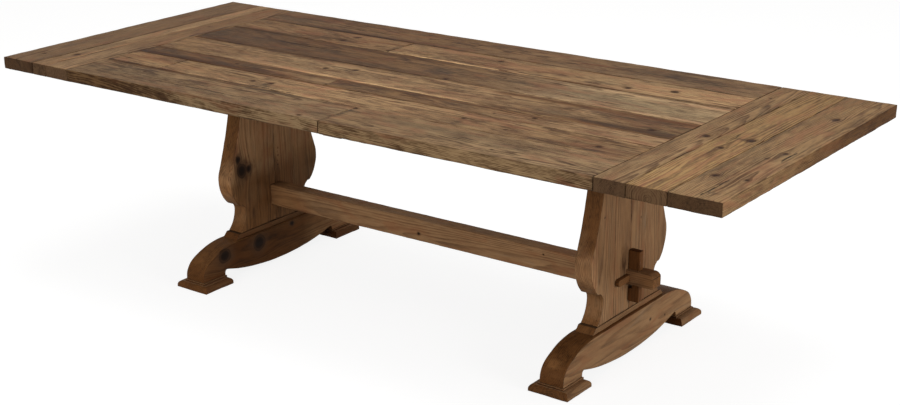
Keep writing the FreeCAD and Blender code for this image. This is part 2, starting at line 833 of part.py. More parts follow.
def make_pad(side, end, turned):
    """The moulded block under a toe: a rounded plate with a smaller step on top."""
    body = new_body("{}_{}_pad".format(side, end))
    middle = pad_middle()
    half_width = S["pad_width"] / 2
    half_length = S["pad_length"] / 2
    plate_height = S["pad_height"] - S["pad_step_height"]
    plate = new_sketch(body, "XY_Plane", "plate")
    rectangle(plate, (-half_width, middle - half_length), (half_width, middle + half_length))
    plate_pad = pad(body, plate, plate_height)
    upper = edges_where(plate_pad, lambda point: point.z > plate_height.number - SLACK)
    soften(body, plate_pad, upper, "Fillet", S["pad_round"])
    step = new_sketch(body, "XY_Plane", "step")
    margin = S["pad_step_margin"]
    step_half_width = S["foot_thickness"] / 2 + margin
    step_low = (-step_half_width, S["heel_reach"] - S["pad_heel_margin"])
    step_high = (step_half_width, S["toe_reach"] + margin)
    rectangle(step, step_low, step_high)
    pad(body, step, S["pad_height"])
    for across in pad_screw_places()[:2]:
        cut_hole(body, ZERO, across, ZERO - OVERCUT, S["pad_screw_seat"], S["screw_bore_radius"])
        shank = S["screw_shank_radius"] + S["pilot_clearance"]
        cut_hole(body, ZERO, across, S["pad_screw_seat"] - OVERCUT, S["pad_height"] + OVERCUT, shank)
    place(body, trestle_places[side], ZERO, ZERO, trestle_turns[side] + turned)


def make_trestle(side):
    """One trestle: bearer, staves, plinth, foot, pads and the keys of its tenon."""
    make_bearer(side)
    for end, turned in (("back", 0.0), ("front", 180.0)):
        facing = end if side == "right" else {"back": "front", "front": "back"}[end]
        make_outer_stave(side, facing, turned)
        make_inner_stave(side, facing, turned)
        make_pad(side, facing, turned)
    make_plinth(side)
    make_foot(side)
    make_wedge_key(side)
    make_cross_key(side)


def make_pad_screws():
    """The screws that hold the pads to the feet."""
    places = []
    for side in trestle_places:
        places.extend((trestle_places[side], across) for across in pad_screw_places())
    return make_screws("pad_screws", places, S["pad_screw_seat"])


# Stretcher and keys -----------------------------------------------------------------------------------
def wedge_key_foot():
    """Height of the wedge key's lower end."""
    return tenon_underside - S["wedge_key_below"]


def make_stretcher():
    """The rail between the trestles, with a rounded and slotted through tenon at each end."""
    body = new_body("stretcher")
    shoulder = trestle_spacing / 2 - board_face
    face = trestle_spacing / 2 + board_face
    tip = face + S["tenon_projection"]
    rail = new_sketch(body, "XZ_Plane", "rail")
    low = S["stretcher_underside"]
    rectangle(rail, (-shoulder, low), (shoulder, low + S["stretcher_height"]))
    bar = pad(body, rail, S["stretcher_width"], symmetric=True)
    document.recompute()
    long_edges = [
        "Edge{}".format(index)
        for index, edge in enumerate(bar.Shape.Edges, start=1)
        if edge.Length > S["stretcher_height"].number * 2
    ]
    soften(body, bar, long_edges, "Chamfer", S["arris_bevel"])
    tenon = new_sketch(body, "XZ_Plane", "tenon")
    curve = S["tenon_round"]
    steps = [
        ("line", (tip, tenon_underside)),
        ("line", (tip, tenon_top - curve)),
        ("smooth", (tip - curve, tenon_top)),
        ("line", (curve - tip, tenon_top)),
        ("smooth", (-tip, tenon_top - curve)),
        ("line", (-tip, tenon_underside)),
    ]
    closed_outline(tenon, (-tip, tenon_underside), steps)
    pad(body, tenon, S["tenon_width"], symmetric=True)
    clearance = S["key_clearance"]
    wedge_half = S["wedge_key_thickness"] / 2 + clearance
    wedge_far = face + wedge_slot_length()
    cross_far = face + S["cross_key_width"] + clearance * 2
    cross_low = cross_key_underside - clearance
    cross_high = cross_key_underside + S["cross_key_height"] + clearance
    side_reach = S["tenon_width"]
    low = tenon_underside - OVERCUT
    high = tenon_top + OVERCUT
    for near, far in ((face, wedge_far), (-wedge_far, -face)):
        cut_box(body, (near, -wedge_half, low), (far, wedge_half, high))
    for near, far in ((face, cross_far), (-cross_far, -face)):
        cut_box(body, (near, -side_reach, cross_low), (far, side_reach, cross_high))
    place(body, base_middle, ZERO, ZERO)


def wedge_slot_length():
    """Length of the slot for the wedge key, which holds the key's width at the top of the tenon."""
    return S["wedge_key_width"] + S["key_clearance"] * 2


def make_wedge_key(side):
    """The vertical key: a tapered bar against the board, open on the board's side for the cross key."""
    body = new_body(side + "_wedge_key")
    sketch = new_sketch(body, "XZ_Plane", "outline")
    inner = board_face + S["key_clearance"]
    outer = inner + S["wedge_key_width"]
    low = wedge_key_foot()
    high = low + S["wedge_key_height"]
    bevel = S["key_bevel"]
    clearance = S["key_clearance"]
    window_low = cross_key_underside - S["wedge_key_lift"] - clearance * 2
    window_high = cross_key_underside + S["cross_key_height"] + clearance
    window_far = inner + S["cross_key_width"] + clearance * 2
    corners = [
        (inner, low),
        (outer - S["wedge_key_taper"] - bevel, low),
        (outer - S["wedge_key_taper"], low + bevel),
        (outer, high - bevel),
        (outer - bevel, high),
        (inner + bevel, high),
        (inner, high - bevel),
        (inner, window_high),
        (window_far, window_high),
        (window_far, window_low),
        (inner, window_low),
    ]
    polygon(sketch, corners)
    pad(body, sketch, S["wedge_key_thickness"], symmetric=True)
    place(body, trestle_places[side], ZERO, ZERO, trestle_turns[side])


def make_cross_key(side):
    """The horizontal key: a bar through the tenon beside the board, thinned and rounded at its tip."""
    body = new_body(side + "_cross_key")
    sketch = new_sketch(body, "YZ_Plane", "outline", offset=board_face + S["key_clearance"])
    low = cross_key_underside
    high = low + S["cross_key_height"]
    tip = S["cross_key_tip"]
    tail = S["cross_key_tail"]
    bevel = S["key_bevel"]
    curve = S["cross_key_height"] / 2
    steps = [
        ("line", (tail - bevel, low)),
        ("line", (tail, low + bevel)),
        ("line", (tail, high - bevel)),
        ("line", (tail - bevel, high)),
        ("line", (curve - tip, high)),
        ("smooth", (-tip, low + curve)),
        ("smooth", (curve - tip, low)),
    ]
    closed_outline(sketch, (curve - tip, low), steps)
    pad(body, sketch, S["cross_key_width"])
    place(body, trestle_places[side], ZERO, ZERO, trestle_turns[side])


# Build, check and write -------------------------------------------------------------------------------
def check_document():
    """Stop if any object of the document failed."""
    for item in document.Objects:
        if "Invalid" in item.State or "Error" in item.State:
            raise RuntimeError("{} failed: {}".format(item.Label, item.State))


def sub_parts(groups):
    """Every body of the document, and the groups of screws."""
    bodies = [item for item in document.Objects if item.TypeId == "PartDesign::Body"]
    return bodies + groups


def write_parts(parts):
    """Write each sub-part's shape to a STEP file named for it."""
    os.makedirs(OUTPUT_FOLDER, exist_ok=True)
    for part in parts:
        shape = part.Shape
        if shape.isNull() or not shape.isValid():
            raise RuntimeError("{} has no sound shape".format(part.Label))
        shape.exportStep(os.path.join(OUTPUT_FOLDER, part.Label + ".step"))


def main():
    make_top()
    make_batten()
    for side in trestle_places:
        make_trestle(side)
    make_stretcher()
    screw_groups = make_top_screws() + [make_pad_screws()]
    document.recompute()
    check_document()
    write_parts(sub_parts(screw_groups))


main()
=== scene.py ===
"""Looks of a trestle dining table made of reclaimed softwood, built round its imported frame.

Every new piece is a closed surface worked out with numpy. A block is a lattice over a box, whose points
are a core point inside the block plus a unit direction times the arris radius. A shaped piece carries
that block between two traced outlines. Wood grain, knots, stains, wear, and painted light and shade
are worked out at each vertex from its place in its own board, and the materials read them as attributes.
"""

import json
import math

import bpy
import numpy as np
from mathutils import Matrix, Vector


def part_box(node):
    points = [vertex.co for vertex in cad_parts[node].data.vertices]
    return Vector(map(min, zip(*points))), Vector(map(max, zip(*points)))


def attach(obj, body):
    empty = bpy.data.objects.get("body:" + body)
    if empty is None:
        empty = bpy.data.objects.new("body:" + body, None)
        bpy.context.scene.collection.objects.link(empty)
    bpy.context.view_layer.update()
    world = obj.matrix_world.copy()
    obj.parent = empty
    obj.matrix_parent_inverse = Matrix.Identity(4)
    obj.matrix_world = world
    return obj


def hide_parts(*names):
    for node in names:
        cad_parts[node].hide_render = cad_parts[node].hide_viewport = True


bl_info = {
    "name": "Trestle Table",
    "version": (1, 0, 0),
    "blender": (4, 5, 0),
    "location": "View3D > Sidebar > Table",
    "description": "Builds a reclaimed-wood trestle table round its construction model",
    "category": "Object",
}

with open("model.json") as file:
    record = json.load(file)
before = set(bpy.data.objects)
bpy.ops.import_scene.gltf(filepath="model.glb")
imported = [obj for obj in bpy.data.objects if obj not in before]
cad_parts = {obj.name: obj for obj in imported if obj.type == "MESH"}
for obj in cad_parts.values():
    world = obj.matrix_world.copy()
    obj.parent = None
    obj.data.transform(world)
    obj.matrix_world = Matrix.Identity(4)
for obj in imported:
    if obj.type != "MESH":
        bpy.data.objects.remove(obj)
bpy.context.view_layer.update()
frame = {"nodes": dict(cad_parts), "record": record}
MM = 0.001


# Names of the frame's pieces --------------------------------------------------------------------------
PLANKS = [
    "back_plank",
    "second_row_left",
    "second_row_right",
    "third_row_plank",
    "fourth_row_plank",
    "fifth_row_left",
    "fifth_row_right",
    "sixth_row_left",
    "sixth_row_right",
    "front_rail_left",
    "front_rail_right",
]
CROSS_BOARDS = [
    "left_outer_board",
    "left_middle_board",
    "left_inner_board",
    "right_inner_board",
    "right_middle_board",
    "right_outer_board",
]
TENON_ROOT = 8 * MM
SIDES = {"left": -1, "right": 1}
ENDS = {"front": -1, "back": 1}


# Colours ----------------------------------------------------------------------------------------------
def linear(code):
    """Turn an sRGB hex colour into Blender's linear red, green, blue and alpha."""
    parts = [int(code[place : place + 2], 16) / 255 for place in (1, 3, 5)]
    return [part / 12.92 if part <= 0.04045 else ((part + 0.055) / 1.055) ** 2.4 for part in parts] + [1.0]


def length_property(name, description, millimetres):
    """A length that a user can change, given in millimetres."""
    return bpy.props.FloatProperty(
        name=name, description=description, default=millimetres * MM, unit="LENGTH", precision=4
    )


def colour_property(name, description, code):
    """A colour that a user can change, given as an sRGB hex value."""
    return bpy.props.FloatVectorProperty(
        name=name, description=description, default=linear(code), subtype="COLOR", size=4, min=0.0, max=1.0
    )


class TABLE_PG_top(bpy.types.PropertyGroup):
    """Sizes and colours of the table top."""

    arris: length_property("Arris radius", "Rounding of a board's edges", 2.0)
    pitch_along: length_property("Pitch along", "Mesh spacing along a board", 5.0)
    pitch_across: length_property("Pitch across", "Mesh spacing across a board", 2.4)
    wear: length_property("Edge wear", "Deepest wear along a board's edges", 1.6)
    relief: length_property("Relief", "Depth of the hand-worn hollows in a board's face", 0.7)
    light: colour_property("Early wood", "Colour of the wide, soft part of a ring", "#a08262")
    golden: colour_property("Golden wood", "Early wood of the warmest boards", "#a48355")
    red: colour_property("Red wood", "Resin-rich patches", "#926247")
    dark: colour_property("Late wood", "Colour of the narrow, hard part of a ring", "#523824")
    weathered: colour_property("Weathered wood", "Grey-green skin that the planer left", "#8a7b5c")
    stain_and_shadow: colour_property("Stain", "Iron and water stains", "#33271d")
    edge: colour_property("End grain", "Cross-cut ends, which take up more wax", "#5f4733")
    knot: colour_property("Knot", "Heart of a knot", "#3d2413")
    grime_and_shade: colour_property("Grime", "Old dirt in seams, cracks and nail holes", "#150d08")


class TABLE_PG_trestle(bpy.types.PropertyGroup):
    """Sizes and colours of the trestles."""

    arris: length_property("Arris radius", "Rounding of the sawn edges", 2.4)
    pitch: length_property("Pitch", "Mesh spacing", 5.0)
    wear: length_property("Edge wear", "Deepest wear along the edges", 1.2)
    relief: length_property("Relief", "Depth of the hollows that hand planing left", 0.4)
    ring: length_property("Ring width", "Mean width of a growth ring", 5.0)
    glue_line: length_property("Glue line", "Where the outer staves are glued on, from the middle", 94)
    base_half: length_property("Base", "Half the board's width at the plinth", 185)
    waist_half: length_property("Waist", "Half the board's width at the waist", 154)
    waist_rise: length_property("Waist rise", "Height of the waist above the plinth", 72)
    ledge_half: length_property("Ledge", "Half the board's width under the ledge", 170)
    ledge_rise: length_property("Ledge rise", "Height of the ledge above the plinth", 97)
    ledge_step: length_property("Ledge step", "Upright step in the ledge", 3)
    ledge_depth: length_property("Ledge depth", "How far the ledge stands out", 14)
    belly_half: length_property("Belly", "Half the board's width at the belly", 226)
    belly_rise: length_property("Belly rise", "Height of the belly above the plinth", 195)
    shoulder_half: length_property("Shoulder", "Half the board's width above the belly", 221)
    shoulder_rise: length_property("Shoulder rise", "Height of the shoulder above the plinth", 222)
    neck_half: length_property("Neck", "Half the board's width at the neck", 152)
    neck_drop: length_property("Neck drop", "Height of the neck below the board's head", 33)
    head_half: length_property("Head", "Half the board's width at its head", 176)
    crest_reach: length_property("Crest", "Half the level length of the foot", 215)
    brow_reach: length_property("Brow", "Where the foot's fall steepens", 359)
    brow_height: length_property("Brow height", "Height of the brow above the floor", 90.6)
    toe_height: length_property("Toe height", "Height of the toe's upright end", 34)
    heel_reach: length_property("Heel", "Where the foot meets the inner edge of its pad", 284)
    heel_height: length_property("Heel height", "Height of the heel's upright step", 34)
    instep_reach: length_property("Instep", "Where the hollow of the sole begins", 272)
    instep_height: length_property("Instep height", "Height of the instep above the floor", 42.5)
    sole_clearance: length_property("Sole clearance", "Height of the sole above the floor", 8)
    plinth_rake: length_property("Plinth rake", "How far the plinth's ends lean in", 19)
    pad_plate: length_property("Pad plate", "Height of a pad's rounded plate", 23)
    pad_round: length_property("Pad rounding", "Radius of the plate's upper edges", 15)
    pad_margin: length_property("Pad step", "How far a pad's step stands out round the toe", 4)
    pad_heel: length_property("Pad step at the heel", "How far a pad's step runs past the heel", 2)
    light: colour_property("Early wood", "Colour of the wide, soft part of a ring", "#977658")
    golden: colour_property("Golden wood", "Early wood where the grain is warm", "#9e764a")
    red: colour_property("Red wood", "Resin-rich patches", "#815236")
    dark: colour_property("Late wood", "Colour of the narrow, hard part of a ring", "#593f2c")
    weathered: colour_property("Weathered wood", "Greyed skin of the wood", "#857460")
    # This colour also paints the wedge key's shadow, and the shade where the stretcher meets the left board.
    stain_and_shadow: colour_property("Stain", "Dark stains", "#2f1c11")
    edge: colour_property("Sawn edge", "Scroll-cut edges and end grain, which take up more oil", "#7b512c")
    knot: colour_property("Knot", "Heart of a knot", "#180c06")
    # This colour also paints shade on the plinths' ledges and where the pads' steps meet their plates.
    grime_and_shade: colour_property("Grime", "Old dirt in joints and cracks", "#1b1008")


class TABLE_PG_keys(bpy.types.PropertyGroup):
    """Sizes of the stretcher's tenons and keys."""

    arris: length_property("Arris radius", "Rounding of the sawn edges", 2.2)
    pitch: length_property("Pitch", "Mesh spacing", 4.0)
    tenon_width: length_property("Tenon width", "Thickness of the through tenon", 50)
    tenon_height: length_property("Tenon height", "Height of the through tenon", 46)
    tenon_rise: length_property("Tenon rise", "Height of the tenon above the rail's underside", 26)
    tenon_round: length_property("Tenon rounding", "Radius of the tenon's upper end", 18)
    taper: length_property("Key taper", "How much narrower the wedge key is at its foot", 2)
    window: length_property("Key window", "Depth of the wedge key's window", 14.6)
    lift: length_property("Key lift", "How far the wedge key can be lifted", 25)
    clearance: length_property("Clearance", "Gap round a key in its slot", 0.3)


class TABLE_PG_stage(bpy.types.PropertyGroup):
    """Camera, floor and lamps."""

    place: bpy.props.FloatVectorProperty(
        name="Camera place",
        description="Where the camera stands",
        default=(3.107, -4.055, 2.058),
        subtype="TRANSLATION",
        unit="LENGTH",
        size=3,
    )
    yaw: bpy.props.FloatProperty(
        name="Yaw",
        description="Turn of the view from +Y towards -X",
        default=math.radians(36.46),
        subtype="ANGLE",
    )
    pitch: bpy.props.FloatProperty(
        name="Pitch",
        description="How far the camera looks down",
        default=math.radians(18.60),
        subtype="ANGLE",
    )
    roll: bpy.props.FloatProperty(
        name="Roll",
        description="Tilt of the camera about its own line of sight",
        default=math.radians(-0.46),
        subtype="ANGLE",
    )
    lens: bpy.props.FloatProperty(
        name="Focal length",
        description="Focal length in millimetres on a 36 mm sensor",
        default=64.92,
        min=1.0,
    )
    floor: colour_property("Floor", "Colour of the floor as it lights the table", "#8f8a84")


# Noise ------------------------------------------------------------------------------------------------
HASH_STEPS = (73856093, 19349663, 83492791)
HASH_MASK = 0xFFFFFFFF


def corner_value(corner, seed):
    """A fixed random number from -1 to 1 for each whole-number corner: its coordinates are mixed as bits."""
    mixed = np.full(corner.shape[0], seed * 2654435761 % HASH_MASK, np.uint64)
    for axis, step in enumerate(HASH_STEPS):
        mixed ^= (corner[:, axis].astype(np.int64) * step).astype(np.uint64) & np.uint64(HASH_MASK)
        mixed = (mixed * np.uint64(0x85EBCA6B)) & np.uint64(HASH_MASK)
        mixed ^= mixed >> np.uint64(13)
    return mixed.astype(float) / HASH_MASK * 2 - 1


def noise(points, cell, seed, octaves=1):
    """Smooth noise between about -1 and 1.

    Space is cut into cells, each corner of a cell holds a random value, and a point blends the eight
    values round it by its eased distances. Each further octave has half the cell and half the share.
    """
    total = np.zeros(len(points))
    share = 1.0
    cell = np.asarray(cell, float)
    for octave in range(octaves):
        place = points / cell
        base = np.floor(place)
        part = place - base
        part = part * part * (3 - 2 * part)
        base = base.astype(np.int64)
        for index in range(8):
            step = np.array([index & 1, index >> 1 & 1, index >> 2 & 1])
            weight = np.prod(np.where(step, part, 1 - part), axis=1)
            total += share * weight * corner_value(base + step, seed + octave * 101)
        share /= 2
        cell = cell / 2
    return total


def ease(low, high, value):
    """Rise smoothly from 0 at low to 1 at high."""
    part = np.clip((value - low) / (high - low), 0, 1)
    return part * part * (3 - 2 * part)


# Blocks -----------------------------------------------------------------------------------------------
ARRIS_STEPS = 2
HOLE_DISTANCE = 8 * MM


def ticks(length, pitch, radius):
    """Places along one side of a block: even in its flat part, and at even angles in its rounded ends."""
    angles = np.linspace(math.pi / 4, 0, ARRIS_STEPS + 1)[:-1]
    curve = radius * (1 - np.tan(angles))
    count = max(1, round((length - 2 * radius) / pitch))
    flat = np.linspace(radius, length - radius, count + 1)
    return np.concatenate([curve, flat, (length - curve)[::-1]])


def block_lattice(filled):
    """Whole-number points on the skin of the filled cells of a grid, and its faces, which point outwards.

    A face lies wherever a filled cell meets an empty one. Points that faces share are found by their
    number in the grid and kept once.
    """
    padded = np.pad(filled, 1).astype(np.int8)
    quads = []
    for axis in range(3):
        first, second = (axis + 1) % 3, (axis + 2) % 3
        step = np.diff(padded, axis=axis)
        for sign in (-1, 1):
            corner = np.argwhere(step == sign)
            corner[:, [first, second]] -= 1
            offsets = np.zeros((4, 3), int)
            offsets[:, first] = (0, 1, 1, 0)
            offsets[:, second] = (0, 0, 1, 1)
            quads.append(corner[:, None] + (offsets if sign < 0 else offsets[::-1]))
    points = np.concatenate(quads).reshape(-1, 3)
    rows, layers = filled.shape[1] + 1, filled.shape[2] + 1
    key = (points[:, 0] * rows + points[:, 1]) * layers + points[:, 2]
    _, kept, number = np.unique(key, return_index=True, return_inverse=True)
    return points[kept], number.reshape(-1, 4)


class Block:
    """The skin of a rounded box: for each vertex its core point, its direction outwards and its place.

    Holes are boxes that are cut out of it. The walls of a hole stay flat, and look into the hole.
    """

    def __init__(self, size, pitch, radius, holes=()):
        self.size = np.array(size, float)
        self.radius = radius
        pitch = np.broadcast_to(pitch, 3)
        places = [ticks(self.size[axis], pitch[axis], radius) for axis in range(3)]
        for box in holes:
            for corner in box:
                for axis in range(3):
                    if 0 < corner[axis] < self.size[axis]:
                        places[axis][np.argmin(np.abs(places[axis] - corner[axis]))] = corner[axis]
        middles = np.meshgrid(*[(place[1:] + place[:-1]) / 2 for place in places], indexing="ij")
        filled = np.ones(middles[0].shape, bool)
        for low, high in holes:
            filled &= ~np.all([(low[axis] < m) & (m < high[axis]) for axis, m in enumerate(middles)], axis=0)
        lattice, self.faces = block_lattice(filled)
        self.skin = np.stack([places[axis][lattice[:, axis]] for axis in range(3)], 1)
        self.core = np.clip(self.skin, radius, self.size - radius)
        self.out = self.skin - self.core
        length = np.linalg.norm(self.out, axis=1)
        self.inner = length < radius * 0.1
        self.out[self.inner] = self.hole_directions()[self.inner]
        self.core[self.inner] -= self.out[self.inner] * radius
        length[self.inner] = 1.0
        self.out /= length[:, None]
        self.place = self.core + self.out * radius

    def hole_directions(self):
        """Mean direction of the faces round each vertex."""
        corners = self.skin[self.faces]
        normals = np.cross(corners[:, 1] - corners[:, 0], corners[:, 3] - corners[:, 0])
        normals /= np.linalg.norm(normals, axis=1)[:, None]
        total = np.zeros_like(self.skin)
        np.add.at(total, self.faces.ravel(), np.repeat(normals, 4, axis=0))
        return total / np.maximum(np.linalg.norm(total, axis=1), 1e-9)[:, None]

    def arris_distance(self):
        """Distance of each vertex from the nearest edge of its own face; the walls of a hole are far."""
        gaps = np.sort(np.minimum(self.skin, self.size - self.skin), axis=1)
        return np.where(self.inner, HOLE_DISTANCE, gaps[:, 1])


# Outlines ---------------------------------------------------------------------------------------------
def arc(start, end, tangent, pitch):
    """Points of the arc that leaves start along tangent and ends at end.

    The centre lies on the normal at start, as far out as half the squared chord over its share along
    that normal.
    """
    start, end, tangent = (np.array(value, float) for value in (start, end, tangent))
    normal = np.array([-tangent[1], tangent[0]]) / np.linalg.norm(tangent)
    chord = end - start
    reach = chord @ chord / (2 * chord @ normal)
    centre = start + normal * reach
    low = math.atan2(*(start - centre)[::-1])
    high = math.atan2(*(end - centre)[::-1])
    turn = (high - low + math.pi) % (2 * math.pi) - math.pi
    if turn * reach < 0:
        turn += math.copysign(2 * math.pi, reach)
    count = max(2, math.ceil(abs(turn * reach) / pitch) + 1)
    angle = low + np.linspace(0, turn, count)
    return centre + abs(reach) * np.stack([np.cos(angle), np.sin(angle)], 1)


def trace(start, steps, pitch):
    """An open outline of lines and arcs. A step is (kind, corner).

    A "line" is straight, a "smooth" arc goes on along the step before it, and "rise" and "level" arcs
    are upright or level at their last corner.
    """
    runs = [np.array([start], float)]
    for kind, corner in steps:
        here = runs[-1][-1]
        corner = np.array(corner, float)
        if kind == "line":
            count = max(2, math.ceil(np.linalg.norm(corner - here) / pitch) + 1)
            run = here + (corner - here) * np.linspace(0, 1, count)[:, None]
        elif kind == "smooth":
            run = arc(here, corner, runs[-1][-1] - runs[-1][-2], pitch)
        else:
            tangent = np.array([0.0, 1.0]) if kind == "rise" else np.array([1.0, 0.0])
            tangent *= math.copysign(1, tangent @ (corner - here))
            run = arc(corner, here, -tangent, pitch)[::-1]
        runs.append(run)
    return np.concatenate([runs[0]] + [run[1:] for run in runs[1:]])


def along_outline(outline, share):
    """Points and outward-left normals of an outline at shares of its length."""
    steps = np.linalg.norm(np.diff(outline, axis=0), axis=1)
    length = np.concatenate([[0], np.cumsum(steps)])
    wanted = share * length[-1]
    point = np.stack([np.interp(wanted, length, outline[:, axis]) for axis in (0, 1)], 1)
    span = length[-1] * 0.004
    ahead = np.stack([np.interp(wanted + span, length, outline[:, axis]) for axis in (0, 1)], 1)
    behind = np.stack([np.interp(wanted - span, length, outline[:, axis]) for axis in (0, 1)], 1)
    tangent = ahead - behind
    tangent /= np.linalg.norm(tangent, axis=1)[:, None]
    return point, np.stack([-tangent[:, 1], tangent[:, 0]], 1)


def ruled_block(near, far, thickness, pitch, radius):
    """A block carried between two outlines in the YZ plane, with the wood on the left of the near one.

    Each core point lies on the straight line between a point of the near outline and the point at the
    same share of the far outline, both drawn in by the radius along their normals. The direction
    outwards turns with those normals, so that the edges keep their radius round every curve.
    """
    spans = [np.linalg.norm(np.diff(line, axis=0), axis=1).sum() for line in (near, far)]
    depth = np.linalg.norm(near[len(near) // 2] - far[len(far) // 2])
    block = Block((thickness, depth, max(spans)), pitch, radius)
    share = (block.core - radius) / (block.size - 2 * radius)
    near_point, near_normal = along_outline(near, share[:, 2])
    far_point, far_normal = along_outline(far, share[:, 2])
    low_way = far[0] - near[0]
    high_way = far[-1] - near[-1]
    low_out = np.array([-low_way[1], low_way[0]]) / np.linalg.norm(low_way)
    high_out = np.array([high_way[1], -high_way[0]]) / np.linalg.norm(high_way)
    across = share[:, 1:2]
    along = share[:, 2:3]
    core = (near_point + near_normal * radius) * (1 - across) + (far_point - far_normal * radius) * across
    end_share = ease(0.5, 0.0, np.minimum(along, 1 - along)) ** 8
    core -= np.where(along < 0.5, low_out, high_out) * radius * end_share
    side, up = block.out[:, 1:2], block.out[:, 2:3]
    turned = np.where(side < 0, -near_normal, far_normal) * np.abs(side)
    turned += np.where(up < 0, low_out, high_out) * np.abs(up)
    block.out = np.concatenate([block.out[:, :1], turned], 1)
    x = block.core[:, :1] - thickness / 2
    block.place = np.concatenate([x, core], 1) + block.out * radius
    return block


# Wood -------------------------------------------------------------------------------------------------
FAR_FROM_KNOTS = 4.0  # in knot radii
WORN_STRIP = 4 * MM  # how far wear reaches in from an edge
OUTLINE_PITCH = 1.0 * MM
BOARD_GRIME = 2.1 * MM
JOINT_GRIME = 1.0 * MM
KEY_GRIME = 0.8 * MM


class Timber:
    """How one piece of wood grew and aged, and the light and shade painted on it: grain axes, heart, marks
    and tone.

    A tone is a number, or (place, tone) pairs along the grain. Faces gives the faces that look one way a
    tone of their own. Marks are in millimetres of the table, first along the grain and then across it.
    """

    def __init__(
        self, seed, along=0, across=None, ring=3.4, tone=0.0, faces=None,
        warm=0.3, weather=0.0, heart=None, **marks,
    ):
        rng = np.random.default_rng(seed)
        self.seed = seed
        self.along = along
        self.across = (1, 0, 1)[along] if across is None else across
        self.depth = 3 - self.along - self.across
        self.ring = ring * MM
        self.tone = tone
        self.faces = faces or {}
        self.warm = warm
        self.weather = weather
        if heart is None:
            heart = (rng.uniform(-60, 60), rng.uniform(-90, -25))
        self.heart = np.array(heart) * MM
        self.lean = rng.uniform(-0.02, 0.02, 2)
        self.marks = marks

    def split(self, points, middle):
        """A point's places along, across and through the piece, from the piece's middle."""
        offset = points - middle
        return offset[:, self.along], offset[:, self.across], offset[:, self.depth]

    def tone_at(self, points, out):
        """The tone at each point, along straight lines between the given ones."""
        total = self.profile(points, self.tone)
        for (axis, sign), tone in self.faces.items():
            total = total + ease(0.5, 0.9, sign * out[:, axis]) * self.profile(points, tone)
        return total

    def profile(self, points, tone):
        """One tone's value at each point."""
        places, tones = zip(*([(0.0, tone)] if isinstance(tone, float) else tone))
        return np.interp(points[:, self.along], np.array(places) * MM, tones)


def marked(marks, points, plane, seed):
    """How strongly marks of one kind cover each point, from 0 to 1.

    A mark is (place, place, half length, half width, strength), and may end in a place and a half length
    through the piece. It is full inside half its ellipse and fades to nothing outside it, with an outline
    that noise drawn out along the grain breaks up.
    """
    cover = np.zeros(len(points))
    first, second = plane
    for number, (one, two, half_one, half_two, strength, *through) in enumerate(marks):
        reach_one = (points[:, first] - one * MM) / (half_one * MM)
        reach_two = (points[:, second] - two * MM) / (half_two * MM)
        reach = np.hypot(reach_one, reach_two)
        if through:
            reach = np.hypot(reach, (points[:, 3 - first - second] - through[0] * MM) / (through[1] * MM))
        near = reach < 1.9
        if not near.any():
            continue
        spot = points[near]
        cell = np.full(3, 0.03)
        cell[first] = max(half_one * MM * 0.35, 0.012)
        cell[second] = max(half_two * MM * 0.3, 0.005)
        broken = reach[near] + 0.38 * noise(spot, cell, seed + number * 7, 3)
        cover[near] = np.maximum(cover[near], strength * ease(1.45, 0.1, broken))
    return cover


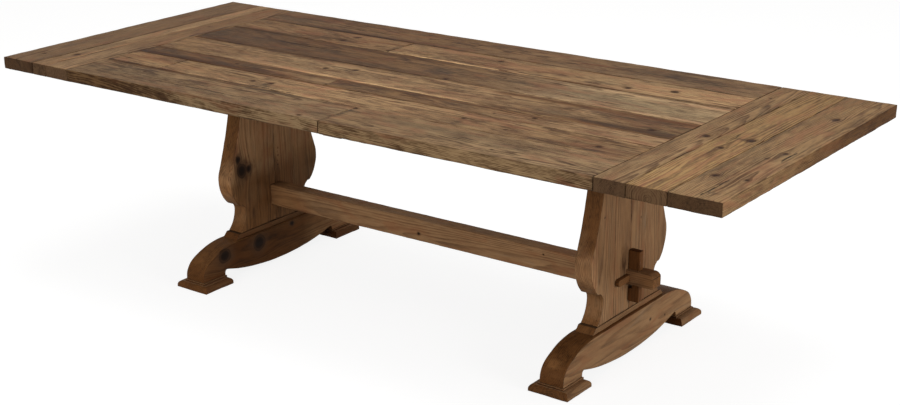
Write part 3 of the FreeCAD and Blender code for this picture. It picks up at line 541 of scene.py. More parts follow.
def grow(timber, points, out, arris_distance, grime_width, planed_axis=None):
    """Work out the attributes that the wood materials read.

    grain is the place along the grain in metres, the number of growth rings out from the heart, and the
    place across in metres. Rings are circles round a heart line that leans and wanders, and each knot
    pushes the fibres aside by its own radius. knot is the distance from the nearest knot in its radii.
    marks are stain with painted shadow, weather, and tone with painted light and shade, and finish is grime
    with painted shade, sawn surface and warmth. The ends are sawn, or where a planed axis is given, every
    face but the two that look along it.
    """
    low, high = points.min(0), points.max(0)
    middle = (low + high) / 2
    along, across, depth = timber.split(points, middle)
    seed = timber.seed
    plane = (timber.along, timber.across)

    def cover(kind, step):
        return marked(timber.marks.get(kind, []), points, plane, seed + step)

    reach = np.full(len(points), FAR_FROM_KNOTS)
    bent = across.copy()
    for number, (one, two, radius, *through) in enumerate(timber.marks.get("knots", [])):
        da = points[:, timber.along] - one * MM
        db = points[:, timber.across] - two * MM
        size = radius * MM
        near = (np.abs(da) < size * 8) & (np.abs(db) < size * 6)
        if through:
            near &= np.abs(points[:, timber.depth] - through[0] * MM) < through[1] * MM
        if not near.any():
            continue
        wobble = 1 + 0.22 * noise(points[near], size * 1.1, seed + 31 + number)
        here = np.hypot(da[near] / (size * 1.15), db[near] / size) * wobble
        reach[near] = np.minimum(reach[near], here)
        push = np.exp(-((da[near] / (3.2 * size)) ** 2) - (db[near] / (2.1 * size)) ** 2)
        bent[near] -= db[near] * push * 0.85
    stretched = np.stack([along / 0.55, bent / 0.09, depth / 0.09], 1)
    wander = noise(stretched, 1.0, seed + 3, 2)
    heart_across = timber.heart[0] + timber.lean[0] * along + 0.012 * wander
    heart_depth = timber.heart[1] + timber.lean[1] * along
    ring = np.hypot(bent - heart_across, depth - heart_depth)
    ring += 0.0022 * noise(np.stack([along / 0.22, bent / 0.022, depth / 0.022], 1), 1.0, seed + 5, 2)
    streak = noise(np.stack([along / 0.35, bent / 0.02, depth / 0.05], 1), 1.0, seed + 9, 2)
    weather = np.clip(timber.weather + 0.25 * timber.weather * streak, 0, 1)
    weather = np.maximum(weather, cover("weather_marks", 11))
    # Real stains, and painted shadows drawn in the stain colour.
    stain_and_shadow = cover("stains_and_shadows", 13)
    # Pale patches lift the tone, and so do painted highlights, such as those on the planks' front arrises and
    # on the scrolls' bellies.
    tone = timber.tone_at(points, out) + 0.07 * streak + cover("lights", 17)
    uneven = 0.55 + 0.6 * noise(points, 0.045, seed + 23, 2)
    grime_and_shade = np.exp(-((arris_distance / (grime_width * np.clip(uneven, 0.15, 1.4))) ** 2))
    if planed_axis is None:
        sawn = ease(0.6, 0.9, np.abs(out[:, timber.along]))
    else:
        sawn = ease(0.35, 0.75, 1 - np.abs(out[:, planed_axis]))
    # Bare wood, and the painted highlight on the scrolls, take the oiled edge colour off. Oiled marks put it
    # on.
    sawn = np.maximum(sawn * (1 - cover("bare_wood_and_highlight", 27)), cover("oiled", 29))
    return {
        "grain": np.stack([along + seed * 1.7, ring / timber.ring, bent], 1),
        "marks": np.stack([stain_and_shadow, weather, tone], 1),
        "finish": np.stack([grime_and_shade, sawn, np.full(len(points), timber.warm)], 1),
        "knot": reach,
    }


def crack_depth(timber, points):
    """Depth of the drying cracks: each is a narrow V along the grain that wanders and runs out."""
    depth = np.zeros(len(points))
    for number, (one, two, half_length, width, deep) in enumerate(timber.marks.get("cracks", [])):
        da = (points[:, timber.along] - one * MM) / (half_length * MM)
        near = np.abs(da) < 1
        if not near.any():
            continue
        spot = np.zeros((near.sum(), 3))
        spot[:, 0] = points[near, timber.along]
        drift = 0.004 * noise(spot, 0.06, timber.seed + 41 + number, 2)
        db = np.abs(points[near, timber.across] - two * MM - drift)
        open_part = np.clip(1 - db / (width * MM), 0, 1) * (1 - da[near] ** 2)
        depth[near] = np.maximum(depth[near], deep * MM * open_part)
    return depth


def face_relief(timber, points, depth):
    """How far a worn face lies below its flat: long hollows along the grain, and dips at the knots."""
    along, across, through = (points[:, axis] for axis in (timber.along, timber.across, timber.depth))
    long_waves = noise(np.stack([along / 0.16, across / 0.03, through], 1), 1.0, timber.seed + 51, 2)
    fine_waves = noise(np.stack([along / 0.05, across / 0.007, through], 1), 1.0, timber.seed + 53, 2)
    hollow = depth * (0.5 + 0.5 * long_waves) + 0.25 * depth * (0.5 + 0.5 * fine_waves)
    for one, two, radius, *_ in timber.marks.get("knots", []):
        reach = np.hypot(along - one * MM, across - two * MM) / (radius * MM)
        hollow = hollow + 0.9 * MM * np.exp(-((reach - 1.0) / 0.35) ** 2)
        hollow = hollow + 0.7 * MM * np.exp(-((reach / 0.3) ** 2))
    return hollow


# Meshes -----------------------------------------------------------------------------------------------
def new_piece(name, points, faces, attributes, material):
    """Make a mesh object in place from arrays, smooth shaded, with its attributes and material."""
    mesh = bpy.data.meshes.new(name)
    mesh.vertices.add(len(points))
    mesh.vertices.foreach_set("co", np.ascontiguousarray(points, np.float32).ravel())
    mesh.loops.add(faces.size)
    mesh.loops.foreach_set("vertex_index", np.ascontiguousarray(faces, np.int32).ravel())
    mesh.polygons.add(len(faces))
    mesh.polygons.foreach_set("loop_start", np.arange(0, faces.size, 4, dtype=np.int32))
    mesh.polygons.foreach_set("use_smooth", np.ones(len(faces), bool))
    mesh.update(calc_edges=True)
    mesh.validate()
    set_attributes(mesh, attributes)
    mesh.materials.append(material)
    piece = bpy.data.objects.new(name, mesh)
    bpy.context.scene.collection.objects.link(piece)
    return piece


def set_attributes(mesh, attributes):
    """Store arrays of numbers or vectors on a mesh's vertices."""
    for name, values in attributes.items():
        kind, field = ("FLOAT_VECTOR", "vector") if values.ndim == 2 else ("FLOAT", "value")
        attribute = mesh.attributes.new(name, kind, "POINT")
        attribute.data.foreach_set(field, np.ascontiguousarray(values, np.float32).ravel())


def node_box(node):
    """Lowest and highest corner of a frame node as arrays."""
    low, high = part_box(node)
    return np.array(low), np.array(high)


def stand_for(piece, node, body):
    """Let a piece ride on its body in place of its frame node."""
    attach(piece, body)
    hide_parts(node)


def body_of(node):
    """The frame body that a node belongs to."""
    bodies = frame["record"]["behaviour"]["bodies"]
    return next(body for body, members in bodies.items() if node in members)


# Materials --------------------------------------------------------------------------------------------
SHEEN = 0.05


def add(tree, kind, inputs=None, **settings):
    """Add a node with its settings, and give each named socket a value or a link."""
    node = tree.nodes.new(kind)
    for key, value in settings.items():
        setattr(node, key, value)
    for key, value in (inputs or {}).items():
        if isinstance(value, bpy.types.NodeSocket):
            tree.links.new(value, node.inputs[key])
        else:
            node.inputs[key].default_value = value
    return node


def new_material(name):
    """An empty node material and its tree."""
    material = bpy.data.materials.new(name)
    material.use_nodes = True
    material.node_tree.nodes.clear()
    return material, material.node_tree


def old_softwood(name, colours, rough, ring_strength, contrast, bump):
    """Waxed old softwood: broad early wood, hard dark late wood, fibres, knots, stains and grime, with
    painted light and shade carried in the tone, stain and grime attributes.

    The ring count's fraction rises slowly through the early wood and drops back at the end of the late
    wood, as a season does. Fibres, dashes and streaks are noise drawn out along the grain, each wider and
    longer than the one before. Their weighted sum runs from the dark wood to the light.
    """
    material, tree = new_material(name)
    grain = add(tree, "ShaderNodeAttribute", attribute_name="grain").outputs["Vector"]
    marks = add(tree, "ShaderNodeAttribute", attribute_name="marks").outputs["Vector"]
    finish = add(tree, "ShaderNodeAttribute", attribute_name="finish").outputs["Vector"]
    reach = add(tree, "ShaderNodeAttribute", attribute_name="knot").outputs["Fac"]
    ring_count = add(tree, "ShaderNodeSeparateXYZ", {"Vector": grain}).outputs[1]
    stain_and_shadow, weather, tone = add(tree, "ShaderNodeSeparateXYZ", {"Vector": marks}).outputs
    grime_and_shade, sawn, warm = add(tree, "ShaderNodeSeparateXYZ", {"Vector": finish}).outputs

    def maths(operation, one, two=0.0, three=0.0, clamp=False):
        node = add(tree, "ShaderNodeMath", {0: one, 1: two, 2: three}, operation=operation, use_clamp=clamp)
        return node.outputs[0]

    def remap(value, low, high, new_low=0.0, new_high=1.0):
        inputs = {"Value": value, 1: low, 2: high, 3: new_low, 4: new_high}
        return add(tree, "ShaderNodeMapRange", inputs, interpolation_type="SMOOTHSTEP").outputs[0]

    def mix(factor, one, two, blend="MIX"):
        inputs = {"Fac": factor, "Color1": one, "Color2": two}
        return add(tree, "ShaderNodeMixRGB", inputs, blend_type=blend).outputs[0]

    def texture(scale, detail, roughness=0.55, distortion=0.0):
        stretched = add(tree, "ShaderNodeMapping", {"Vector": grain, "Scale": scale}).outputs[0]
        inputs = {"Vector": stretched, "Scale": 1.0, "Detail": detail, "Roughness": roughness}
        inputs["Distortion"] = distortion
        return add(tree, "ShaderNodeTexNoise", inputs).outputs["Fac"]

    def weigh(value, weight, total):
        """Add a noise, as its distance from its middle times a weight, to a total."""
        return maths("ADD", maths("MULTIPLY_ADD", value, weight, -0.5 * weight), total)

    wobble = texture((3.0, 0.35, 18.0), 2.0)
    fibre = texture((14.0, 1.1, 330.0), 5.0, 0.65)
    dash = texture((22.0, 0.5, 150.0), 4.0, 0.62, 0.4)
    streak = texture((1.9, 0.28, 34.0), 4.0, 0.6, 0.5)
    blotch = texture((4.5, 0.05, 11.0), 4.0, 0.6, 0.6)
    hue = texture((5.5, 0.08, 22.0), 3.0, 0.6, 0.8)
    pore = texture((38.0, 2.0, 1500.0), 2.0, 0.5)
    phase = maths("FRACT", maths("MULTIPLY_ADD", wobble, 1.6, ring_count))
    rise = remap(phase, 0.25, 0.86)
    fall = remap(phase, 0.9, 1.0, 1.0, 0.0)
    late = maths("MULTIPLY", maths("MULTIPLY", rise, fall), remap(streak, 0.3, 0.7, 0.35, 1.0))

    share = maths("MULTIPLY_ADD", late, -ring_strength, 0.68)
    for value, weight in ((fibre, 2.0), (dash, 1.8), (streak, 0.9), (blotch, 1.6)):
        share = weigh(value, weight * contrast, share)
    early = mix(warm, colours["light"], colours["golden"])
    wood = mix(remap(share, 0.0, 1.0), colours["dark"], early)
    wood = mix(remap(share, 0.05, -0.45, 0.0, 0.8), wood, colours["grime_and_shade"])
    grey = mix(remap(share, 0.1, 0.8, 0.75, 0.0), colours["weathered"], colours["stain_and_shadow"])
    weather = maths("MULTIPLY", weather, remap(hue, 0.3, 0.6, 1.25, 0.55), clamp=True)
    weather = maths("MAXIMUM", weather, remap(hue, 0.56, 0.72, 0.0, 0.3))
    wood = mix(weather, wood, grey)
    wood = mix(remap(hue, 0.52, 0.32, 0.0, 0.45), wood, colours["red"])
    lift = maths("POWER", 2.6, tone)
    deep = maths("MINIMUM", lift, 1.0)
    green = maths("MULTIPLY", lift, maths("POWER", deep, 0.3))
    blue = maths("MULTIPLY", lift, maths("POWER", deep, 0.6))
    shade = add(tree, "ShaderNodeCombineXYZ", {0: lift, 1: green, 2: blue}).outputs[0]
    wood = mix(1.0, wood, shade, "MULTIPLY")
    # The stain cover also carries painted shadow, such as the wedge key's shadow on the right board.
    stain_and_shadow_cover = maths("MULTIPLY", stain_and_shadow, remap(weigh(fibre, 0.8, dash), 0.35, 0.68, 1.15, 0.6), clamp=True)
    wood = mix(maths("MULTIPLY", stain_and_shadow_cover, 0.94), wood, colours["stain_and_shadow"])
    soaked = maths("MULTIPLY_ADD", late, -0.25, 0.62)
    for value, weight in ((dash, 0.9), (blotch, 0.9), (fibre, 0.7)):
        soaked = weigh(value, weight, soaked)
    oiled = mix(remap(soaked, -0.1, 0.8), colours["grime_and_shade"], colours["edge"])
    wood = mix(maths("MULTIPLY", sawn, 0.88), wood, mix(1.0, oiled, shade, "MULTIPLY"))

    bark = remap(reach, 0.82, 1.0)
    beyond = remap(reach, 1.0, 1.22, 1.0, 0.0)
    core = remap(reach, 0.45, 0.85, 1.0, 0.0)
    knot_wood = mix(remap(reach, 0.5, 1.05, 0.0, 0.6), colours["knot"], colours["dark"])
    knot_wood = mix(maths("MULTIPLY", core, 0.6), knot_wood, colours["grime_and_shade"])
    knot_wood = mix(maths("MULTIPLY", bark, 0.5), knot_wood, colours["grime_and_shade"])
    wood = mix(remap(reach, 1.0, 2.4, 0.6, 0.0), wood, colours["dark"])
    wood = mix(maths("MULTIPLY", beyond, remap(reach, 0.0, 1.02, 1.0, 0.9)), wood, knot_wood)
    wood = mix(remap(pore, 0.64, 0.74, 0.0, 0.35), wood, colours["grime_and_shade"])
    wood = mix(maths("MULTIPLY", grime_and_shade, 0.92), wood, colours["grime_and_shade"])

    height = maths("MULTIPLY_ADD", late, 0.5, maths("MULTIPLY", fibre, 0.9))
    height = maths("MULTIPLY_ADD", pore, -0.25, height)
    relief = add(tree, "ShaderNodeBump", {"Height": height, "Strength": bump, "Distance": 0.6 * MM})
    dull = remap(fibre, 0.3, 0.7, rough - 0.06, rough + 0.1)
    surface = {"Base Color": wood, "Roughness": dull, "Normal": relief.outputs[0]}
    surface["Specular IOR Level"] = SHEEN
    shader = add(tree, "ShaderNodeBsdfPrincipled", surface)
    add(tree, "ShaderNodeOutputMaterial", {"Surface": shader.outputs[0]})
    return material


def palette(settings):
    """The wood colours of a property group."""
    names = ("light", "golden", "red", "dark", "weathered", "stain_and_shadow", "edge", "knot", "grime_and_shade")
    return {name: tuple(getattr(settings, name)) for name in names}


def material_named(name, make):
    """The material of that name, made when it is first asked for."""
    return bpy.data.materials.get(name) or make()


def top_wood():
    """Reclaimed pine planks, brushed and waxed: matt, with dark late wood standing proud."""
    settings = bpy.context.scene.table_top
    name = "reclaimed_pine_waxed"
    return material_named(name, lambda: old_softwood(name, palette(settings), 0.62, 0.6, 1.0, 0.5))


def end_board_wood():
    """Pine of the boards across the ends: as the planks, but planed smoother and evener in colour."""
    settings = bpy.context.scene.table_top
    name = "reclaimed_pine_smooth"
    return material_named(name, lambda: old_softwood(name, palette(settings), 0.6, 0.6, 0.55, 0.4))


def trestle_wood():
    """Sawn and hand-planed pine, oiled: a browner and quieter grain than the top's."""
    settings = bpy.context.scene.table_trestle
    name = "planed_pine_oiled"
    return material_named(name, lambda: old_softwood(name, palette(settings), 0.6, 0.4, 0.3, 0.35))


# Table top --------------------------------------------------------------------------------------------
# Ways that a face can look, as an axis and a sign.
FRONT = (1, -1)
RIGHT = (0, 1)
TOP = (2, 1)
UNDER = (2, -1)

BOARD_MARKS = {
    "back_plank": Timber(
        1, tone=[(-800, -0.56), (-300, -0.62), (200, -0.43), (750, -0.28)], warm=0.1, weather=0.25,
        stains_and_shadows=[
            (700, 490, 210, 60, 0.72), (-930, 475, 120, 60, 0.6), (-560, 420, 300, 14, 0.35),
            (-700, 399, 380, 9, 0.85), (330, 430, 200, 12, 0.3),
        ],
        # The band at y 404 is a painted highlight on the plank's front arris.
        lights=[(150, 540, 300, 30, 0.08), (500, 404, 420, 10, 0.2)],
        knots=[(-120, 500, 5)],
        cracks=[(-620, 455, 220, 2.4, 1.2)],
    ),
    "second_row_left": Timber(
        2, tone=-0.33, warm=0.3,
        stains_and_shadows=[
            (-1046, 384, 12, 22, 0.9), (-1046, 246, 12, 20, 0.8), (-600, 287, 90, 12, 0.6),
            (-340, 300, 9, 70, 0.6), (-900, 243, 160, 8, 0.6),
        ],
        knots=[(-555, 351, 9), (-572, 288, 11), (-338, 255, 6)],
        # A painted highlight on the plank's front arris.
        lights=[(-450, 240, 120, 6, 0.25)],
    ),
    "second_row_right": Timber(
        3, tone=[(-200, -0.07), (400, -0.1), (800, 0.26)], warm=0.4,
        knots=[(76, 344, 8), (751, 322, 11), (606, 280, 8), (-60, 268, 4)],
        stains_and_shadows=[(60, 338, 50, 10, 0.45), (590, 300, 22, 30, 0.35), (760, 242, 230, 6, 0.55)],
        # The band at y 242 is a painted highlight on the plank's front arris.
        lights=[(-60, 242, 300, 6, 0.4), (800, 310, 220, 50, 0.08)],
    ),
    "third_row_plank": Timber(
        4, tone=[(-900, -0.83), (-300, -0.8), (200, -0.38), (560, 0.14), (900, 0.24)],
        warm=0.15, weather=0.3,
        stains_and_shadows=[
            (-1010, 130, 60, 95, 0.7), (-830, 120, 190, 70, 0.5), (-520, 135, 160, 26, 0.6),
            (-14, 112, 70, 46, 0.9), (270, 148, 85, 18, 0.65), (50, 165, 170, 16, 0.5),
            (-300, 60, 330, 12, 0.45), (-60, 230, 170, 6, 0.7), (-900, 230, 190, 7, 0.7),
            (-300, 38, 280, 6, 0.6), (62, 46, 22, 16, 0.9), (700, 110, 160, 5, 0.35),
            (560, 160, 120, 4, 0.35),
        ],
        weather_marks=[(700, 130, 440, 100, 0.9)],
        knots=[(62, 46, 9), (215, 165, 5)],
        cracks=[(-600, 150, 200, 2.4, 1.4), (520, 95, 200, 2.4, 1.0)],
    ),
    "fourth_row_plank": Timber(
        5, tone=[(-900, -0.2), (-400, 0.0), (300, 0.0), (560, -0.15), (900, -0.3)], warm=0.35,
        knots=[(-353, -63, 8), (-255, -28, 9), (905, -95, 12)],
        stains_and_shadows=[
            (800, -30, 210, 30, 0.55), (930, -108, 100, 40, 0.85), (560, -90, 70, 60, 0.55),
            (760, -112, 190, 18, 0.75), (-700, 28, 260, 6, 0.4),
        ],
        # The band at y -141 is a painted highlight on the plank's front arris.
        lights=[(-100, -141, 900, 6, 0.3), (650, -40, 44, 30, 0.5), (-300, -110, 500, 16, 0.08)],
    ),
    "fifth_row_left": Timber(
        6, tone=[(-1000, -0.86), (-650, -0.78), (-450, -0.42), (-250, -0.28)], warm=0.15, weather=0.2,
        stains_and_shadows=[
            (-1035, -225, 34, 14, 0.85), (-1046, -180, 12, 34, 0.7), (-960, -180, 60, 18, 0.7),
            (-880, -212, 110, 20, 0.65), (-765, -178, 52, 15, 0.6), (-690, -208, 74, 24, 0.7),
            (-590, -180, 60, 18, 0.6), (-500, -205, 60, 14, 0.45), (-350, -152, 160, 5, 0.6),
        ],
        knots=[(-640, -185, 6)],
    ),
    "fifth_row_right": Timber(
        7, tone=[(-200, -0.4), (150, -0.38), (500, -0.12), (900, 0.0)], warm=0.3,
        stains_and_shadows=[
            (-95, -195, 120, 34, 0.5), (300, -190, 70, 26, 0.5), (60, -152, 240, 5, 0.65),
            (700, -236, 200, 5, 0.4),
        ],
        knots=[(561, -182, 7), (430, -205, 4)],
    ),
    "sixth_row_left": Timber(
        8, tone=-0.12, warm=0.45,
        stains_and_shadows=[(-950, -382, 110, 7, 0.7), (-1046, -374, 12, 20, 0.9), (-1048, -250, 10, 16, 0.7)],
        knots=[(-1010, -330, 4)],
    ),
    "sixth_row_right": Timber(
        9, tone=[(-700, -0.15), (-400, -0.02), (-150, 0.16), (350, 0.03), (850, -0.12)], warm=0.4,
        knots=[(-437, -326, 7), (386, -301, 6), (868, -326, 8), (558, -333, 4), (-365, -318, 8)],
        stains_and_shadows=[
            (-372, -345, 13, 30, 1.0), (-352, -356, 9, 22, 1.0), (-388, -372, 34, 8, 1.0),
            (393, -345, 12, 38, 0.55), (-600, -381, 300, 6, 0.7), (875, -366, 76, 11, 0.85),
            (905, -335, 90, 46, 0.4),
        ],
        cracks=[(-300, -372, 120, 2.4, 1.5)],
    ),
    "front_rail_left": Timber(
        10, tone=[(-800, -0.2), (-200, -0.12)], warm=0.15, weather=0.4,
        faces={FRONT: [(-900, -0.4), (-700, -0.1), (-560, 0.2), (0, 0.22)]},
        bare_wood_and_highlight=[(-500, -570, 620, 4, 0.7)],
        stains_and_shadows=[
            (-860, -430, 130, 26, 0.5), (-950, -480, 100, 34, 0.35), (-300, -400, 300, 8, 0.5),
            (-600, -520, 200, 10, 0.3),
        ],
        knots=[(-41, -552, 6), (-820, -436, 5)],
        weather_marks=[(-800, -480, 260, 70, 0.6)],
        cracks=[(-500, -500, 260, 2.4, 1.2)],
    ),
    "front_rail_right": Timber(
        11, tone=[(200, -0.13), (800, 0.05)], warm=0.3, weather=0.3,
        faces={FRONT: [(200, 0.22), (500, 0.26), (850, 0.1)]},
        bare_wood_and_highlight=[(520, -570, 520, 4, 0.7)],
        stains_and_shadows=[
            (56, -470, 9, 80, 0.8), (400, -440, 190, 26, 0.45), (960, -520, 50, 22, 0.35),
            (300, -500, 150, 10, 0.35),
        ],
        knots=[(52, -398, 7), (640, -520, 4)],
        weather_marks=[(450, -470, 380, 60, 0.6)],
    ),
    "left_outer_board": Timber(
        12, along=1, tone=[(-400, -0.38), (0, -0.4), (400, -0.5)], warm=0.1, weather=0.3,
        faces={FRONT: 0.15},
        stains_and_shadows=[
            (345, -1247, 46, 10, 0.7), (230, -1260, 44, 12, 0.45), (-250, -1330, 170, 22, 0.35),
            (0, -1232, 400, 6, 0.4),
        ],
        knots=[(-455, -1300, 6)],
    ),
    "left_middle_board": Timber(
        13, along=1, tone=[(-400, -0.1), (0, 0.08), (400, 0.07)], warm=0.4,
        faces={FRONT: 0.15},
        stains_and_shadows=[(-395, -1190, 60, 16, 0.5)],
        knots=[(-401, -1192, 9)],
    ),
    "left_inner_board": Timber(
        14, along=1, tone=[(-400, 0.0), (0, -0.32), (400, -0.45)], warm=0.3,
        faces={FRONT: 0.15},
        stains_and_shadows=[(60, -1070, 180, 9, 0.5), (300, -1160, 90, 10, 0.4), (-380, -1158, 150, 6, 0.5)],
        knots=[(180, -1130, 4)],
    ),
    "right_inner_board": Timber(
        15, along=1, tone=[(-400, 0.0), (0, -0.07), (400, -0.15)], warm=0.45,
        knots=[(-59, 1063, 10), (420, 1030, 4)],
        stains_and_shadows=[(-62, 1058, 24, 14, 0.5), (-250, 1010, 170, 7, 0.45), (200, 1090, 260, 6, 0.4)],
    ),
    "right_middle_board": Timber(
        16, along=1, ring=6.5, tone=[(-400, 0.2), (0, 0.06), (400, -0.15)], warm=0.9, heart=(0, -12),
        faces={FRONT: 0.14},
        knots=[(-32, 1190, 11), (-141, 1150, 8)],
        stains_and_shadows=[(-36, 1168, 9, 30, 0.65)],
        cracks=[(-40, 1140, 60, 2.4, 1.4)],
    ),
    "right_outer_board": Timber(
        17, along=1, tone=[(-400, 0.1), (0, -0.08), (400, -0.15)], warm=0.5,
        faces={FRONT: -0.28, RIGHT: [(-430, 0.0), (-150, -0.2), (150, -0.66), (430, -0.85)]},
        knots=[(306, 1295, 10), (-93, 1322, 8), (-162, 1299, 4), (-374, 1254, 9), (-367, 1343, 6)],
        stains_and_shadows=[
            (-290, 1233, 130, 14, 0.65), (60, 1228, 240, 9, 0.5), (-380, 1262, 50, 26, 0.4),
            (-511, 1322, 10, 24, 0.5),
        ],
        cracks=[(-470, 1300, 90, 2.6, 1.6), (-120, 1345, 60, 2.4, 1.2)],
    ),
}

# Painted highlights and painted shadows beside the planks' seams. A lighter band is a painted highlight where
# a board's arris catches the light, and a darker band is painted shadow where a board's edge lies lower in
# shade. From, to, middle and half width in millimetres, and tone.
SEAM_HIGHLIGHTS_AND_SHADOWS = [
    (-1050, -710, 405, 11, -0.38), (-710, -370, 400, 11, -1.15), (-370, -30, 398, 10, -0.25),
    (-30, 300, 394, 9, -0.12), (300, 650, 392, 9, -0.22), (650, 1000, 393, 9, -0.15),
    (-1050, -710, 242, 12, -0.8), (-710, -370, 221, 11, -0.4), (-370, -30, 214, 11, -0.48),
    (-370, -30, 242, 9, 0.45), (-30, 300, 238, 11, 0.48), (300, 650, 240, 9, -0.32),
    (300, 650, 213, 11, 0.3), (650, 1000, 238, 9, -0.25), (650, 1000, 213, 11, 0.2),
    (-1050, -710, 40, 14, -0.4), (-710, -370, 27, 11, -0.8), (-370, -30, 29, 11, -0.58),
    (-30, 300, 43, 12, -0.22), (300, 650, 12, 14, -0.75), (300, 650, 44, 11, 0.38),
    (650, 1000, 14, 14, -0.45), (650, 1000, 47, 12, 0.42), (-1050, -710, -156, 11, -0.42),
    (-710, -370, -164, 11, -0.42), (-710, -370, -132, 10, 0.26), (-370, -30, -163, 11, -0.55),
    (-370, -30, -139, 10, 0.45), (-30, 300, -163, 10, -0.58), (-30, 300, -142, 10, 0.35),
    (300, 650, -163, 11, -0.5), (300, 650, -131, 10, -0.3), (650, 1000, -125, 18, -0.7),
    (-1050, -710, -230, 14, -0.95), (-710, -370, -222, 18, -0.65), (-370, -30, -240, 10, -0.2),
    (-370, -30, -265, 12, 0.35), (-30, 300, -240, 9, -0.18), (650, 1000, -240, 12, 0.5),
    (650, 1000, -264, 10, -0.3), (-1050, -710, -386, 10, -1.05), (-1050, -710, -360, 11, 0.15),
    (-710, -370, -394, 9, -0.45), (-710, -370, -371, 10, 0.45), (-370, -30, -397, 9, -0.25),
    (-370, -30, -374, 10, 0.25), (650, 1000, -386, 9, 0.18),
]


BAND_FADE = 70


def seam_highlights_and_shadows(points):
    """Tone of the painted highlights and shadows beside the seams, each band fading out sideways as a bell
    curve and at its ends.
    """
    total = np.zeros(len(points))
    place = np.zeros((len(points), 3))
    place[:, 0] = points[:, 0]
    for number, (start, stop, middle, half, tone) in enumerate(SEAM_HIGHLIGHTS_AND_SHADOWS):
        drift = 2.0 * MM * noise(place, 0.09, 300 + number, 2)
        off = (points[:, 1] - middle * MM - drift) / (half * MM)
        along = points[:, 0] / MM
        inside = ease(start - BAND_FADE, start + BAND_FADE, along)
        inside = inside * ease(stop + BAND_FADE, stop - BAND_FADE, along)
        total += tone * np.exp(-(off**2)) * inside
    return total * (1.12 + 0.3 * noise(points, (0.05, 0.01, 0.05), 299, 2))


def make_board(name):
    """One board of the top: a block as big as its node, with worn edges and a worked upper face.

    Wear draws the edges in and dies away from them as an exponential. The upper face is lowered by its
    hollows and cracks and by a level of its own, and the sides are roughened by fine noise.
    """
    settings = bpy.context.scene.table_top
    timber = BOARD_MARKS[name]
    low, high = node_box(name)
    pitch = [settings.pitch_across] * 3
    pitch[timber.along] = settings.pitch_along
    pitch[2] = settings.pitch_along
    block = Block(high - low, pitch, settings.arris)
    points = low + block.place
    edge = block.arris_distance()
    uneven = np.clip(0.45 + 0.75 * noise(points, (0.05, 0.05, 0.03), timber.seed + 61, 3), 0, 1)
    worn = settings.wear * uneven * np.exp(-edge / WORN_STRIP)
    points = points - block.out * worn[:, None]
    faces_up = ease(0.3, 0.9, block.out[:, 2])
    sunk = face_relief(timber, points, settings.relief) + crack_depth(timber, points)
    level = np.random.default_rng(timber.seed).uniform(0.0, 0.5) * MM
    points[:, 2] -= faces_up * (sunk + level)
    sides = 1 - ease(0.3, 0.9, np.abs(block.out[:, 2]))
    rough = 0.5 + 0.5 * noise(points, (0.02, 0.02, 0.006), timber.seed + 71, 2)
    points -= block.out * (sides * rough * 0.5 * MM)[:, None]
    points = np.clip(points, low, high)
    attributes = grow(timber, points, block.out, edge, BOARD_GRIME)
    crack = crack_depth(timber, points) > 0.25 * MM
    attributes["finish"][:, 0] = np.maximum(attributes["finish"][:, 0], crack * faces_up)
    if name in PLANKS:
        # The painted highlights and shadows beside the seams lighten or darken the upper faces.
        attributes["marks"][:, 2] += seam_highlights_and_shadows(points) * faces_up
    material = top_wood() if name in PLANKS else end_board_wood()
    piece = new_piece(name + "_wood", points, block.faces, attributes, material)
    stand_for(piece, name, body_of(name))


class TABLE_OT_planks(bpy.types.Operator):
    """Make the planks of the top's field"""

    bl_idname = "table.planks"
    bl_label = "Planks"

    def execute(self, context):
        for name in PLANKS:
            make_board(name)
        return {"FINISHED"}


class TABLE_OT_cross_boards(bpy.types.Operator):
    """Make the boards across both ends of the top"""

    bl_idname = "table.cross_boards"
    bl_label = "Cross boards"

    def execute(self, context):
        for name in CROSS_BOARDS:
            make_board(name)
        return {"FINISHED"}


# Trestles ---------------------------------------------------------------------------------------------
def planed(block, timber, settings, shift):
    """A block's points in place, after its edges have worn and its faces have been planed by hand."""
    points = block.place + shift
    edge = block.arris_distance()
    uneven = np.clip(0.3 + 0.7 * noise(points, 0.05, timber.seed + 61, 3), 0, 1)
    points = points - block.out * (settings.wear * uneven * np.exp(-edge / WORN_STRIP))[:, None]
    cell = np.full(3, 0.03)
    cell[timber.along] = 0.14
    hollow = settings.relief * (0.5 + 0.5 * noise(points, cell, timber.seed + 63, 2))
    return points - block.out * hollow[:, None]


def stave_outline():
    """Edge of the trestle board from the plinth up, as half widths and heights."""
    settings = bpy.context.scene.table_trestle
    low, high = node_box("right_back_outer_stave")
    foot, head = low[2], high[2]
    ledge = foot + settings.ledge_rise
    step = ledge + settings.ledge_step
    steps = [
        ("rise", (settings.waist_half, foot + settings.waist_rise)),
        ("smooth", (settings.ledge_half, ledge)),
        ("line", (settings.ledge_half, step)),
        ("line", (settings.ledge_half + settings.ledge_depth, step)),
        ("rise", (settings.belly_half, foot + settings.belly_rise)),
        ("smooth", (settings.shoulder_half, foot + settings.shoulder_rise)),
        ("smooth", (settings.neck_half, head - settings.neck_drop)),
    ]
    outline = trace((settings.base_half, foot), steps, OUTLINE_PITCH)
    neck = outline[-1]
    crown = arc(neck, (settings.head_half, head), (0.0, 1.0), OUTLINE_PITCH)
    return np.concatenate([outline, crown[1:]])


